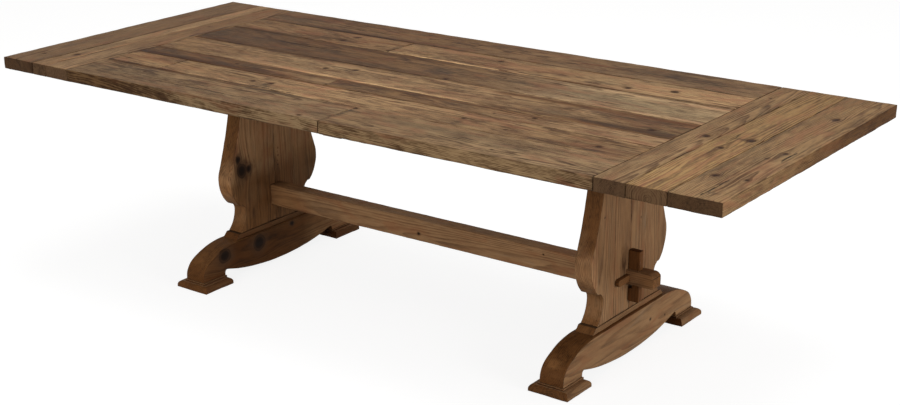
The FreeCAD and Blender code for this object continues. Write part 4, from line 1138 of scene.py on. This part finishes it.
def make_stave(side, end, part, seed):
    """An inner or outer stave. The outer one is carried between its straight seam and the scroll-cut edge."""
    settings = bpy.context.scene.table_trestle
    node = "{}_{}_{}_stave".format(side, end, part)
    low, high = node_box(node)
    marks = STAVE_MARKS.get(node, {})
    timber = Timber(seed, along=2, ring=settings.ring / MM, warm=0.4, **marks)
    thickness = high[0] - low[0]
    middle = np.array([(low[0] + high[0]) / 2, 0.0, 0.0])
    if part == "inner":
        low[2], high[2] = stave_span()
        block = Block(high - low, settings.pitch, 0.9 * MM)
        points = planed(block, timber, settings, low)
    else:
        outline = stave_outline()
        seam = min(abs(low[1]), abs(high[1]))
        past_seam = seam - settings.arris + 0.6 * MM  # clipped at the seam below, which keeps the joint tight
        straight = np.array([[past_seam, outline[0][1]], [past_seam, outline[-1][1]]])
        block = ruled_block(outline, straight, thickness, settings.pitch, settings.arris)
        if end == "front":
            block.place[:, 1] *= -1
            block.out[:, 1] *= -1
            block.faces = block.faces[:, ::-1]
        points = planed(block, timber, settings, middle)
    points = np.clip(points, low, high)
    beside_glue_line = ease(7 * MM, 3 * MM, np.abs(np.abs(points[:, 1]) - settings.glue_line))
    edge = block.arris_distance() + beside_glue_line * (0.7 if end == "front" else 3.0) * MM
    attributes = grow(timber, points, block.out, edge, 1.2 * MM, 0 if part == "outer" else None)
    piece = new_piece(node + "_wood", points, block.faces, attributes, trestle_wood())
    stand_for(piece, node, body_of(node))


def stave_span():
    """Lowest and highest point of the staves' shoulders, between the plinth and the bearer."""
    low, high = node_box("right_back_outer_stave")
    return low[2], high[2]


# Painted light and shade on the left staves' faces towards the middle: lighter high up, and darker lower down
# where the table's shade falls. LEFT_STAVE_OIL gives their lower part the darker oiled colour.
LEFT_STAVE_LIGHT_AND_SHADE = [(150, 0.06), (250, 0.0), (320, -0.18), (400, 0.38), (480, 0.64), (600, 0.57)]
LEFT_STAVE_OIL = [(220, 0, 150, 420, 0.85)]
# Painted highlight on the scrolls' bellies, where the curve faces up into the light. The darker oiled edge
# colour is taken off there and the tone is lifted.
SCROLL_HIGHLIGHT = {
    "bare_wood_and_highlight": [(300, -225, 115, 60, 0.8), (205, -155, 50, 30, 0.5)],
    "lights": [(315, -228, 90, 34, 0.66), (205, -157, 45, 24, 0.06)],
}
STAVE_MARKS = {
    "left_front_outer_stave": {
        "faces": {RIGHT: LEFT_STAVE_LIGHT_AND_SHADE},
        "oiled": LEFT_STAVE_OIL,
        "knots": [(375, -168, 21, -661, 8), (417, -184, 10, -661, 8), (373, -134, 11, -661, 8)],
        "stains_and_shadows": [(374, -152, 34, 42, 1.0, -661, 30), (402, -178, 40, 16, 0.9, -661, 30)],
        **SCROLL_HIGHLIGHT,
    },
    "left_front_inner_stave": {
        "faces": {RIGHT: LEFT_STAVE_LIGHT_AND_SHADE},
        "oiled": LEFT_STAVE_OIL,
        # Painted shade in the corner where the stretcher meets the board, drawn in the stain colour.
        "stains_and_shadows": [(292, -40, 26, 14, 0.6, -661, 30)],
    },
    "left_back_inner_stave": {
        "faces": {RIGHT: LEFT_STAVE_LIGHT_AND_SHADE},
        "oiled": LEFT_STAVE_OIL,
        "knots": [(412, 20, 2.5), (398, 17, 2), (384, 19, 2.5), (366, 15, 2), (350, 17, 2.5), (334, 12, 2)],
    },
    "left_back_outer_stave": {"faces": {RIGHT: LEFT_STAVE_LIGHT_AND_SHADE}, "oiled": LEFT_STAVE_OIL},
    "right_front_outer_stave": {
        "tone": [(165, 0.17), (230, 0.1), (320, -0.12), (560, -0.14)],
        "knots": [(488, -156, 2.5)],
        **SCROLL_HIGHLIGHT,
    },
    "right_front_inner_stave": {
        "tone": [(165, 0.17), (230, 0.1), (320, -0.12), (560, -0.14)],
        # Painted shadow that the wedge key casts on the board beside it, drawn in the stain colour.
        "stains_and_shadows": [(300, -36, 62, 20, 0.85), (262, -36, 34, 16, 0.7), (345, -30, 22, 16, 0.45)],
    },
    "right_back_inner_stave": {"tone": [(165, -0.25), (300, 0.0), (560, 0.06)], "knots": [(430, 60, 3)]},
    "right_back_outer_stave": {"tone": [(165, -0.25), (300, 0.0), (560, 0.08)]},
}


class TABLE_OT_staves(bpy.types.Operator):
    """Make the four staves of each trestle board"""

    bl_idname = "table.staves"
    bl_label = "Staves"

    def execute(self, context):
        seed = 30
        for side in SIDES:
            for end in ENDS:
                for part in ("inner", "outer"):
                    make_stave(side, end, part, seed)
                    seed += 1
        return {"FINISHED"}


def foot_outlines():
    """Lower and upper edge of the foot, from the front toe to the back toe.

    Half of each is traced from lines and arcs, and mirrored about the middle.
    """
    settings = bpy.context.scene.table_trestle
    toe, top = node_box("right_foot")[1][1:]
    rest = node_box("right_back_pad")[1][2]
    pitch = OUTLINE_PITCH
    heel = (settings.heel_reach, settings.heel_height)
    instep = (settings.instep_reach, settings.instep_height)
    upright = trace((settings.heel_reach, rest), [("line", heel)], pitch)
    rise = arc(heel, instep, (0.0, 1.0), pitch)
    sole = arc((0.0, settings.sole_clearance), instep, (1.0, 0.0), pitch)[::-1]
    half_lower = np.concatenate([upright, rise[1:], sole[1:]])
    lower = np.concatenate([half_lower * [-1, 1], half_lower[::-1][1:]])
    steps = [
        ("line", (settings.crest_reach, top)),
        ("smooth", (settings.brow_reach, settings.brow_height)),
        ("smooth", (toe, settings.toe_height)),
        ("line", (toe, rest)),
    ]
    half_upper = trace((0.0, top), steps, pitch)
    upper = np.concatenate([(half_upper * [-1, 1])[::-1], half_upper[1:]])
    return lower, upper


# Painted shade on the left foot's side towards the middle. It is deepest near the front and fades towards the
# back, where it turns a little lighter.
LEFT_FOOT_SHADE = [
    (-385, -0.56), (-230, -0.87), (-150, -0.68), (0, -0.45), (120, -0.38), (190, 0.2), (300, 0.25),
]
# The undersides of both feet are darkened as painted shade under the arch.
FOOT_MARKS = {
    "left": {
        "faces": {RIGHT: LEFT_FOOT_SHADE, FRONT: -0.36, UNDER: -0.9},
        "knots": [(-285, 98, 25, -649, 8), (-110, 96, 26, -649, 8), (65, 118, 9, -649, 8)],
        "stains_and_shadows": [
            (-285, 98, 48, 40, 1.0, -649, 30), (-110, 96, 52, 40, 1.0, -649, 30),
            (62, 116, 30, 12, 0.9, -649, 30), (-372, 80, 18, 16, 0.5, -700, 26),
            (-330, 112, 40, 10, 0.4, -715, 20),
        ],
        "oiled": [(-100, 80, 420, 160, 0.9)],
    },
    "right": {
        "faces": {FRONT: -0.42, TOP: -0.3, UNDER: -0.9},
        "tone": [(-385, 0.08), (0, 0.0), (200, 0.15)],
        "knots": [(117, 76, 4, 805, 8), (210, 60, 3, 805, 8)],
        "stains_and_shadows": [
            (-318, 114, 34, 14, 0.75, 742, 22), (-345, 100, 24, 14, 0.6, 790, 16),
            (-388, 44, 12, 24, 0.7, 748, 34), (-262, 128, 24, 8, 0.6, 755, 26),
            (-378, 70, 9, 9, 0.85, 768, 30), (-290, 122, 12, 6, 0.7, 785, 14),
        ],
        "lights": [(-366, 88, 15, 15, 0.5, 752, 24)],
        "oiled": [(-270, 130, 60, 14, 0.5)],
    },
}


class TABLE_OT_feet(bpy.types.Operator):
    """Make the plinths and the sledge feet"""

    bl_idname = "table.feet"
    bl_label = "Feet and plinths"

    def execute(self, context):
        settings = context.scene.table_trestle
        for number, side in enumerate(SIDES):
            node = side + "_plinth"
            low, high = node_box(node)
            # The left plinth's darker tone is painted shade.
            timber = Timber(40 + number, along=1, ring=5.0, warm=0.4, tone=(-0.42, -0.12)[number])
            block = Block(high - low, settings.pitch, 2.0 * MM)
            # The plinth's ends lean in evenly with height.
            share = block.place[:, 2] / (high[2] - low[2])
            half = (high[1] - low[1]) / 2
            block.place[:, 1] = half + (block.place[:, 1] - half) * (1 - settings.plinth_rake / half * share)
            points = np.clip(planed(block, timber, settings, low), low, high)
            attributes = grow(timber, points, block.out, block.arris_distance(), JOINT_GRIME)
            # Painted shade: the plinth's upward faces form a narrow ledge under the stave, and they are
            # darkened in the grime colour.
            ledge = ease(0.3, 0.8, block.out[:, 2])
            attributes["finish"][:, 0] = np.maximum(attributes["finish"][:, 0], 0.75 * ledge)
            piece = new_piece(node + "_wood", points, block.faces, attributes, trestle_wood())
            stand_for(piece, node, body_of(node))

            node = side + "_foot"
            low, high = node_box(node)
            timber = Timber(42 + number, along=1, across=2, ring=5.5, warm=0.4, **FOOT_MARKS[side])
            lower, upper = foot_outlines()
            block = ruled_block(lower, upper, high[0] - low[0], settings.pitch, settings.arris)
            middle = np.array([(low[0] + high[0]) / 2, 0.0, 0.0])
            points = np.clip(planed(block, timber, settings, middle), low, high)
            attributes = grow(timber, points, block.out, block.arris_distance(), JOINT_GRIME, 0)
            piece = new_piece(node + "_wood", points, block.faces, attributes, trestle_wood())
            stand_for(piece, node, body_of(node))
        return {"FINISHED"}


# The left pads' darker sides are painted shade.
PAD_TONES = {"left": -0.65, "right": -0.12}


class TABLE_OT_pads(bpy.types.Operator):
    """Make the moulded pads under the toes"""

    bl_idname = "table.pads"
    bl_label = "Pads"

    def execute(self, context):
        settings = context.scene.table_trestle
        seed = 50
        for side in SIDES:
            foot_low, foot_high = node_box(side + "_foot")
            for end, sign in ENDS.items():
                node = "{}_{}_pad".format(side, end)
                low, high = node_box(node)
                face_tones = {RIGHT: PAD_TONES[side], FRONT: -0.2}
                # Painted shade on each pad's inner end, under the foot's arch.
                face_tones[1, -sign] = -0.9
                timber = Timber(seed, along=1, ring=4.5, warm=0.35, tone=-0.04, faces=face_tones)
                seed += 1
                plate_size = np.array([high[0] - low[0], high[1] - low[1], settings.pad_plate])
                block = Block(plate_size, 3 * MM, 1.2 * MM)
                points = planed(block, timber, settings, low)
                # The plate's upper edges are quarter circles: the inset grows with the height in them.
                middle = (low + high) / 2
                above = points[:, 2] - low[2] - settings.pad_plate + settings.pad_round
                climb = np.clip(above / settings.pad_round, 0, 1)
                inset = settings.pad_round * (1 - np.sqrt(1 - climb**2))
                for axis in (0, 1):
                    half = plate_size[axis] / 2
                    points[:, axis] = middle[axis] + (points[:, axis] - middle[axis]) * (1 - inset / half)
                attributes = grow(timber, points, block.out, block.arris_distance() + 3 * MM, JOINT_GRIME)
                margin = settings.pad_margin
                step_low = np.array([foot_low[0] - margin, 0.0, low[2] + settings.pad_plate - 4 * MM])
                step_high = np.array([foot_high[0] + margin, 0.0, high[2]])
                reach = [settings.heel_reach - settings.pad_heel, foot_high[1] + margin]
                step_low[1], step_high[1] = reach if sign > 0 else [-reach[1], -reach[0]]
                step = Block(step_high - step_low, 3 * MM, 1.4 * MM)
                step_points = planed(step, timber, settings, step_low)
                more = grow(timber, step_points, step.out, step.arris_distance() + 3 * MM, JOINT_GRIME)
                # Painted shade in the inner corner where the step meets the plate, drawn in the grime colour.
                crease_shade = np.abs(step_points[:, 2] - (low[2] + settings.pad_plate)) < 1.6 * MM
                more["finish"][:, 0] = np.maximum(more["finish"][:, 0], crease_shade * 0.8)
                faces = np.concatenate([block.faces, step.faces + len(points)])
                points = np.concatenate([points, step_points])
                attributes = {key: np.concatenate([attributes[key], more[key]]) for key in attributes}
                points = np.clip(points, low, high)
                piece = new_piece(node + "_wood", points, faces, attributes, trestle_wood())
                stand_for(piece, node, body_of(node))
        return {"FINISHED"}


# Stretcher and keys -----------------------------------------------------------------------------------
def tenon_slots(side, low, high):
    """The slots of one tenon, measured from its lowest corner: each key's box with its clearance round it."""
    gap = bpy.context.scene.table_keys.clearance
    far = high - low
    slots = []
    for node, through in (("_wedge_key", 2), ("_cross_key", 1)):
        start, stop = node_box(side + node)
        start, stop = start - gap - low, stop + gap - low
        start[through], stop[through] = -gap, far[through] + gap
        if side == "left":
            stop[0] = far[0] - TENON_ROOT
        else:
            start[0] = TENON_ROOT
        slots.append((start, stop))
    return slots


def key_window(side, low, high):
    """The wedge key's window, measured from its lowest corner, open on the board's side."""
    keys = bpy.context.scene.table_keys
    cross_low, cross_high = node_box(side + "_cross_key")
    far = high - low
    foot = cross_low[2] - low[2] - keys.lift - 2 * keys.clearance
    start = np.array([-keys.clearance, -keys.clearance, foot])
    stop = np.array([keys.window, far[1] + keys.clearance, cross_high[2] - low[2] + keys.clearance])
    if side == "left":
        start[0], stop[0] = far[0] - keys.window, far[0] + keys.clearance
    return [(start, stop)]


STRETCHER_MARKS = {
    "ring": 4.5,
    "tone": [(-740, -0.05), (-640, 0.1), (-300, 0.32), (600, 0.46), (830, 0.2), (900, 0.1)],
    # The darker ends of the top face are painted shade where the stretcher meets the boards.
    "faces": {TOP: [(-680, -0.5), (-600, 0.3), (700, 0.35), (830, -0.3)]},
    "oiled": [(-640, 250, 180, 200, 0.6), (880, 260, 90, 200, 0.65)],
    "warm": 0.4,
    "knots": [(0, 238, 4.5), (495, 270, 2.5)],
    "stains_and_shadows": [(-560, 286, 120, 4, 0.4)],
}


class TABLE_OT_stretcher(bpy.types.Operator):
    """Make the rail between the trestles with its two slotted through tenons"""

    bl_idname = "table.stretcher"
    bl_label = "Stretcher"

    def execute(self, context):
        keys = context.scene.table_keys
        low, high = node_box("stretcher")
        shoulders = [node_box("left_back_inner_stave")[1][0], node_box("right_back_inner_stave")[0][0]]
        timber = Timber(60, along=0, across=2, **STRETCHER_MARKS)
        rail_low = np.array([shoulders[0], low[1], low[2]])
        rail_high = np.array([shoulders[1], high[1], high[2]])
        rail = Block(rail_high - rail_low, keys.pitch, keys.arris)
        points = planed(rail, timber, context.scene.table_trestle, rail_low)
        parts = [(points, rail)]
        outer = [node_box("left_back_inner_stave")[0][0], node_box("right_back_inner_stave")[1][0]]
        for number, (side, sign) in enumerate(SIDES.items()):
            near = outer[number] - sign * TENON_ROOT
            far = low[0] if sign < 0 else high[0]
            half = keys.tenon_width / 2
            underside = low[2] + keys.tenon_rise
            tenon_low = np.array([min(near, far), -half, underside])
            tenon_high = np.array([max(near, far), half, underside + keys.tenon_height])
            slots = tenon_slots(side, tenon_low, tenon_high)
            tenon = Block(tenon_high - tenon_low, 2.5 * MM, keys.arris, slots)
            spot = planed(tenon, timber, context.scene.table_trestle, tenon_low)
            # A quarter circle lowers the tenon's end, fully at its top and not at all at its underside.
            reach = (spot[:, 0] - (far - sign * keys.tenon_round)) * sign / keys.tenon_round
            drop = keys.tenon_round * (1 - np.sqrt(np.clip(1 - np.clip(reach, 0, 1) ** 2, 0, 1)))
            spot[:, 2] -= drop * (spot[:, 2] - underside) / keys.tenon_height
            parts.append((spot, tenon))
        all_points = np.concatenate([spot for spot, _ in parts])
        starts = np.cumsum([0] + [len(spot) for spot, _ in parts[:-1]])
        faces = np.concatenate([part.faces + start for start, (_, part) in zip(starts, parts)])
        all_points = np.clip(all_points, low, high)
        out = np.concatenate([part.out for _, part in parts])
        edge = np.concatenate([part.arris_distance() for _, part in parts])
        attributes = grow(timber, all_points, out, edge, KEY_GRIME)
        piece = new_piece("stretcher_wood", all_points, faces, attributes, trestle_wood())
        stand_for(piece, "stretcher", body_of("stretcher"))
        return {"FINISHED"}


KEY_MARKS = {"ring": 4.0, "warm": 0.5, "oiled": [(0, 0, 2000, 2000, 1.0)]}


class TABLE_OT_keys(bpy.types.Operator):
    """Make the wedge keys and the cross keys"""

    bl_idname = "table.keys"
    bl_label = "Keys"

    def execute(self, context):
        keys = context.scene.table_keys
        trestle = context.scene.table_trestle
        for number, (side, sign) in enumerate(SIDES.items()):
            node = side + "_wedge_key"
            low, high = node_box(node)
            timber = Timber(70 + number, along=2, tone=-0.42, faces={TOP: -0.8}, **KEY_MARKS)
            block = Block(high - low, 2.5 * MM, keys.arris, key_window(side, low, high))
            points = planed(block, timber, trestle, low)
            # The wedge narrows evenly towards its foot, on the side away from the board.
            share = (points[:, 2] - low[2]) / (high[2] - low[2])
            width = high[0] - low[0]
            from_board = np.abs(points[:, 0] - (low[0] if sign > 0 else high[0])) / width
            points[:, 0] -= sign * keys.taper * (1 - share) * from_board
            points = np.clip(points, low, high)
            attributes = grow(timber, points, block.out, block.arris_distance(), KEY_GRIME)
            piece = new_piece(node + "_wood", points, block.faces, attributes, trestle_wood())
            stand_for(piece, node, body_of(node))

            node = side + "_cross_key"
            low, high = node_box(node)
            timber = Timber(72 + number, along=1, tone=-0.28, faces={TOP: -0.3}, **KEY_MARKS)
            block = Block(high - low, 2.0 * MM, keys.arris)
            points = planed(block, timber, trestle, low)
            # The cross key's tip is a half circle, a little blunter at its very end.
            half = (high[2] - low[2]) / 2
            middle = (high[2] + low[2]) / 2
            tip = low[1] if sign > 0 else high[1]
            reach = np.clip(1 - np.abs(points[:, 1] - tip) / half, 0, 1)
            narrow = np.sqrt(1 - (reach * 0.97) ** 2)
            points[:, 2] = middle + (points[:, 2] - middle) * narrow
            points = np.clip(points, low, high)
            attributes = grow(timber, points, block.out, block.arris_distance(), KEY_GRIME)
            piece = new_piece(node + "_wood", points, block.faces, attributes, trestle_wood())
            stand_for(piece, node, body_of(node))
        return {"FINISHED"}


# Pieces that stay as built ----------------------------------------------------------------------------
def finish_node(node, material):
    """Give a frame node its finish."""
    mesh = frame["nodes"][node].data
    mesh.materials.clear()
    mesh.materials.append(material)


def sawn_wood(name, code_light, code_dark, along):
    """Rough-sawn wood of hidden pieces: dull, with fibres drawn out along the X or the Y axis."""
    material, tree = new_material(name)
    place = add(tree, "ShaderNodeTexCoord").outputs["Object"]
    turn = (0.0, 0.0, 0.0) if along == 0 else (0.0, 0.0, math.pi / 2)
    scale = (5.0, 190.0, 190.0)
    turned = add(tree, "ShaderNodeMapping", {"Vector": place, "Rotation": turn}).outputs[0]
    stretched = add(tree, "ShaderNodeMapping", {"Vector": turned, "Scale": scale}).outputs[0]
    fibre = add(tree, "ShaderNodeTexNoise", {"Vector": stretched, "Scale": 1.0, "Detail": 5.0}).outputs["Fac"]
    factor = add(tree, "ShaderNodeMapRange", {"Value": fibre, 1: 0.35, 2: 0.65}).outputs[0]
    inputs = {"Fac": factor, "Color1": linear(code_light), "Color2": linear(code_dark)}
    colour = add(tree, "ShaderNodeMixRGB", inputs).outputs[0]
    bump = add(tree, "ShaderNodeBump", {"Height": fibre, "Strength": 0.5, "Distance": 0.5 * MM}).outputs[0]
    inputs = {"Base Color": colour, "Roughness": 0.7, "Normal": bump}
    shader = add(tree, "ShaderNodeBsdfPrincipled", inputs)
    add(tree, "ShaderNodeOutputMaterial", {"Surface": shader.outputs[0]})
    return material


def zinc_steel():
    """Zinc-plated steel, as cut: grey and half bright, mottled by handling."""
    material, tree = new_material("zinc_plated_steel")
    place = add(tree, "ShaderNodeTexCoord").outputs["Object"]
    mottle = add(tree, "ShaderNodeTexNoise", {"Vector": place, "Scale": 900.0, "Detail": 3.0}).outputs["Fac"]
    rough = add(tree, "ShaderNodeMapRange", {"Value": mottle, 1: 0.3, 2: 0.7, 3: 0.28, 4: 0.5}).outputs[0]
    inputs = {"Fac": mottle, "Color1": linear("#8e9092"), "Color2": linear("#b4b5b3")}
    colour = add(tree, "ShaderNodeMixRGB", inputs).outputs[0]
    inputs = {"Base Color": colour, "Metallic": 1.0, "Roughness": rough}
    shader = add(tree, "ShaderNodeBsdfPrincipled", inputs)
    add(tree, "ShaderNodeOutputMaterial", {"Surface": shader.outputs[0]})
    return material


class TABLE_OT_rails(bpy.types.Operator):
    """Finish the bearers, the batten, the splines and the screws"""

    bl_idname = "table.rails"
    bl_label = "Bearers, splines and screws"

    def execute(self, context):
        sawn = sawn_wood("sawn_pine_across", "#8d6a48", "#5f4530", 1)
        spline = sawn_wood("beech_strip", "#b48a5c", "#94693f", 0)
        steel = zinc_steel()
        for node in frame["nodes"]:
            if "screws" in node:
                finish_node(node, steel)
            elif "spline" in node:
                finish_node(node, spline)
            elif "bearer" in node or "batten" in node:
                finish_node(node, sawn)
        return {"FINISHED"}


# Stage ------------------------------------------------------------------------------------------------
def area_lamp(name, place, target, size, power, colour="#ffffff"):
    """A soft square lamp that faces a point."""
    light = bpy.data.lights.new(name, "AREA")
    light.shape = "RECTANGLE"
    light.size, light.size_y = size
    light.energy = power
    light.color = linear(colour)[:3]
    lamp = bpy.data.objects.new(name, light)
    lamp.location = place
    way = Vector(target) - Vector(place)
    lamp.rotation_euler = way.to_track_quat("-Z", "Y").to_euler()
    bpy.context.scene.collection.objects.link(lamp)


def make_camera(settings):
    """The camera: its axes come from yaw, pitch and roll."""
    yaw, pitch, roll = settings.yaw, settings.pitch, settings.roll
    ahead = Vector((-math.sin(yaw) * math.cos(pitch), math.cos(yaw) * math.cos(pitch), -math.sin(pitch)))
    right = Vector((math.cos(yaw), math.sin(yaw), 0.0))
    up = right.cross(ahead)
    turned_right = right * math.cos(roll) + up * math.sin(roll)
    turned_up = up * math.cos(roll) - right * math.sin(roll)
    data = bpy.data.cameras.new("camera")
    data.lens = settings.lens
    data.sensor_width = 36.0
    data.clip_end = 100.0
    camera = bpy.data.objects.new("camera", data)
    axes = Matrix((turned_right, turned_up, -ahead)).transposed().to_4x4()
    camera.matrix_world = Matrix.Translation(settings.place) @ axes
    bpy.context.scene.collection.objects.link(camera)
    bpy.context.scene.camera = camera


def seen_directly(tree):
    """One for camera, glossy and transmission rays, and nought for the rays that light the table."""
    ray = add(tree, "ShaderNodeLightPath").outputs
    inputs = {0: ray["Is Camera Ray"], 1: ray["Is Glossy Ray"]}
    seen = add(tree, "ShaderNodeMath", inputs, operation="MAXIMUM")
    inputs = {0: seen.outputs[0], 1: ray["Is Transmission Ray"]}
    return add(tree, "ShaderNodeMath", inputs, operation="MAXIMUM").outputs[0]


FLOOR_REACH = 40.0


def floor_material(colour):
    """Matt studio floor: plain for the lamps, and brought up to white for the camera where it is lit."""
    material, tree = new_material("studio_floor")
    plain = add(tree, "ShaderNodeBsdfDiffuse", {"Color": tuple(colour)}).outputs[0]
    faint = add(tree, "ShaderNodeBsdfDiffuse", {"Color": linear("#8c8c8c")}).outputs[0]
    glow = add(tree, "ShaderNodeEmission", {"Color": (1, 1, 1, 1), "Strength": 0.86}).outputs[0]
    both = add(tree, "ShaderNodeAddShader", {0: faint, 1: glow}).outputs[0]
    shader = add(tree, "ShaderNodeMixShader", {0: seen_directly(tree), 1: plain, 2: both})
    add(tree, "ShaderNodeOutputMaterial", {"Surface": shader.outputs[0]})
    return material


class TABLE_OT_stage(bpy.types.Operator):
    """Set up the floor, the lamps and the camera"""

    bl_idname = "table.stage"
    bl_label = "Stage"

    def execute(self, context):
        settings = context.scene.table_stage
        scene = context.scene
        scene.view_settings.view_transform = "Standard"
        mesh = bpy.data.meshes.new("floor")
        corners = [(-1, -1), (1, -1), (1, 1), (-1, 1)]
        mesh.from_pydata([(x * FLOOR_REACH, y * FLOOR_REACH, 0) for x, y in corners], [], [(0, 1, 2, 3)])
        mesh.materials.append(floor_material(settings.floor))
        floor = bpy.data.objects.new("floor", mesh)
        scene.collection.objects.link(floor)
        world = bpy.data.worlds.new("studio")
        world.use_nodes = True
        tree = world.node_tree
        tree.nodes.clear()
        room = add(tree, "ShaderNodeBackground", {"Color": linear("#f4f2ef"), "Strength": 0.35}).outputs[0]
        white = add(tree, "ShaderNodeBackground", {"Color": (1, 1, 1, 1), "Strength": 1.0}).outputs[0]
        shader = add(tree, "ShaderNodeMixShader", {0: seen_directly(tree), 1: room, 2: white})
        add(tree, "ShaderNodeOutputWorld", {"Surface": shader.outputs[0]})
        scene.world = world
        area_lamp("overhead", (0.2, 0.6, 5.2), (0.0, 0.0, 0.7), (4.5, 3.0), 125)
        area_lamp("right", (8.5, -0.6, 1.7), (0.4, 0.0, 0.4), (4.0, 3.2), 340)
        area_lamp("front", (-0.4, -6.2, 2.4), (0.0, 0.0, 0.4), (4.0, 2.4), 130)
        make_camera(settings)
        return {"FINISHED"}


class TABLE_PT_panel(bpy.types.Panel):
    """Table tools in the 3D view's sidebar"""

    bl_idname = "TABLE_PT_panel"
    bl_label = "Trestle table"
    bl_space_type = "VIEW_3D"
    bl_region_type = "UI"
    bl_category = "Table"

    def draw(self, context):
        for operator in OPERATORS:
            self.layout.operator(operator.bl_idname)
        for name in PROPERTY_GROUPS:
            box = self.layout.box()
            group = getattr(context.scene, name)
            for key in group.bl_rna.properties.keys():
                if key not in ("rna_type", "name"):
                    box.prop(group, key)


PROPERTY_GROUPS = {
    "table_top": TABLE_PG_top,
    "table_trestle": TABLE_PG_trestle,
    "table_keys": TABLE_PG_keys,
    "table_stage": TABLE_PG_stage,
}
OPERATORS = [
    TABLE_OT_stage,
    TABLE_OT_planks,
    TABLE_OT_cross_boards,
    TABLE_OT_staves,
    TABLE_OT_feet,
    TABLE_OT_pads,
    TABLE_OT_stretcher,
    TABLE_OT_keys,
    TABLE_OT_rails,
]


def register():
    """Make the classes and the scene's settings known to Blender."""
    for item in [*PROPERTY_GROUPS.values(), *OPERATORS, TABLE_PT_panel]:
        bpy.utils.register_class(item)
    for name, group in PROPERTY_GROUPS.items():
        setattr(bpy.types.Scene, name, bpy.props.PointerProperty(type=group))


def unregister():
    """Take the settings and the classes away again."""
    for name in PROPERTY_GROUPS:
        delattr(bpy.types.Scene, name)
    for item in reversed([*PROPERTY_GROUPS.values(), *OPERATORS, TABLE_PT_panel]):
        bpy.utils.unregister_class(item)


def run(operator):
    """Call an operator by its identifier."""
    group, name = operator.bl_idname.split(".")
    getattr(getattr(bpy.ops, group), name)()


def main():
    """Build every piece."""
    register()
    for operator in OPERATORS:
        run(operator)


if __name__ == "__main__":
    main()
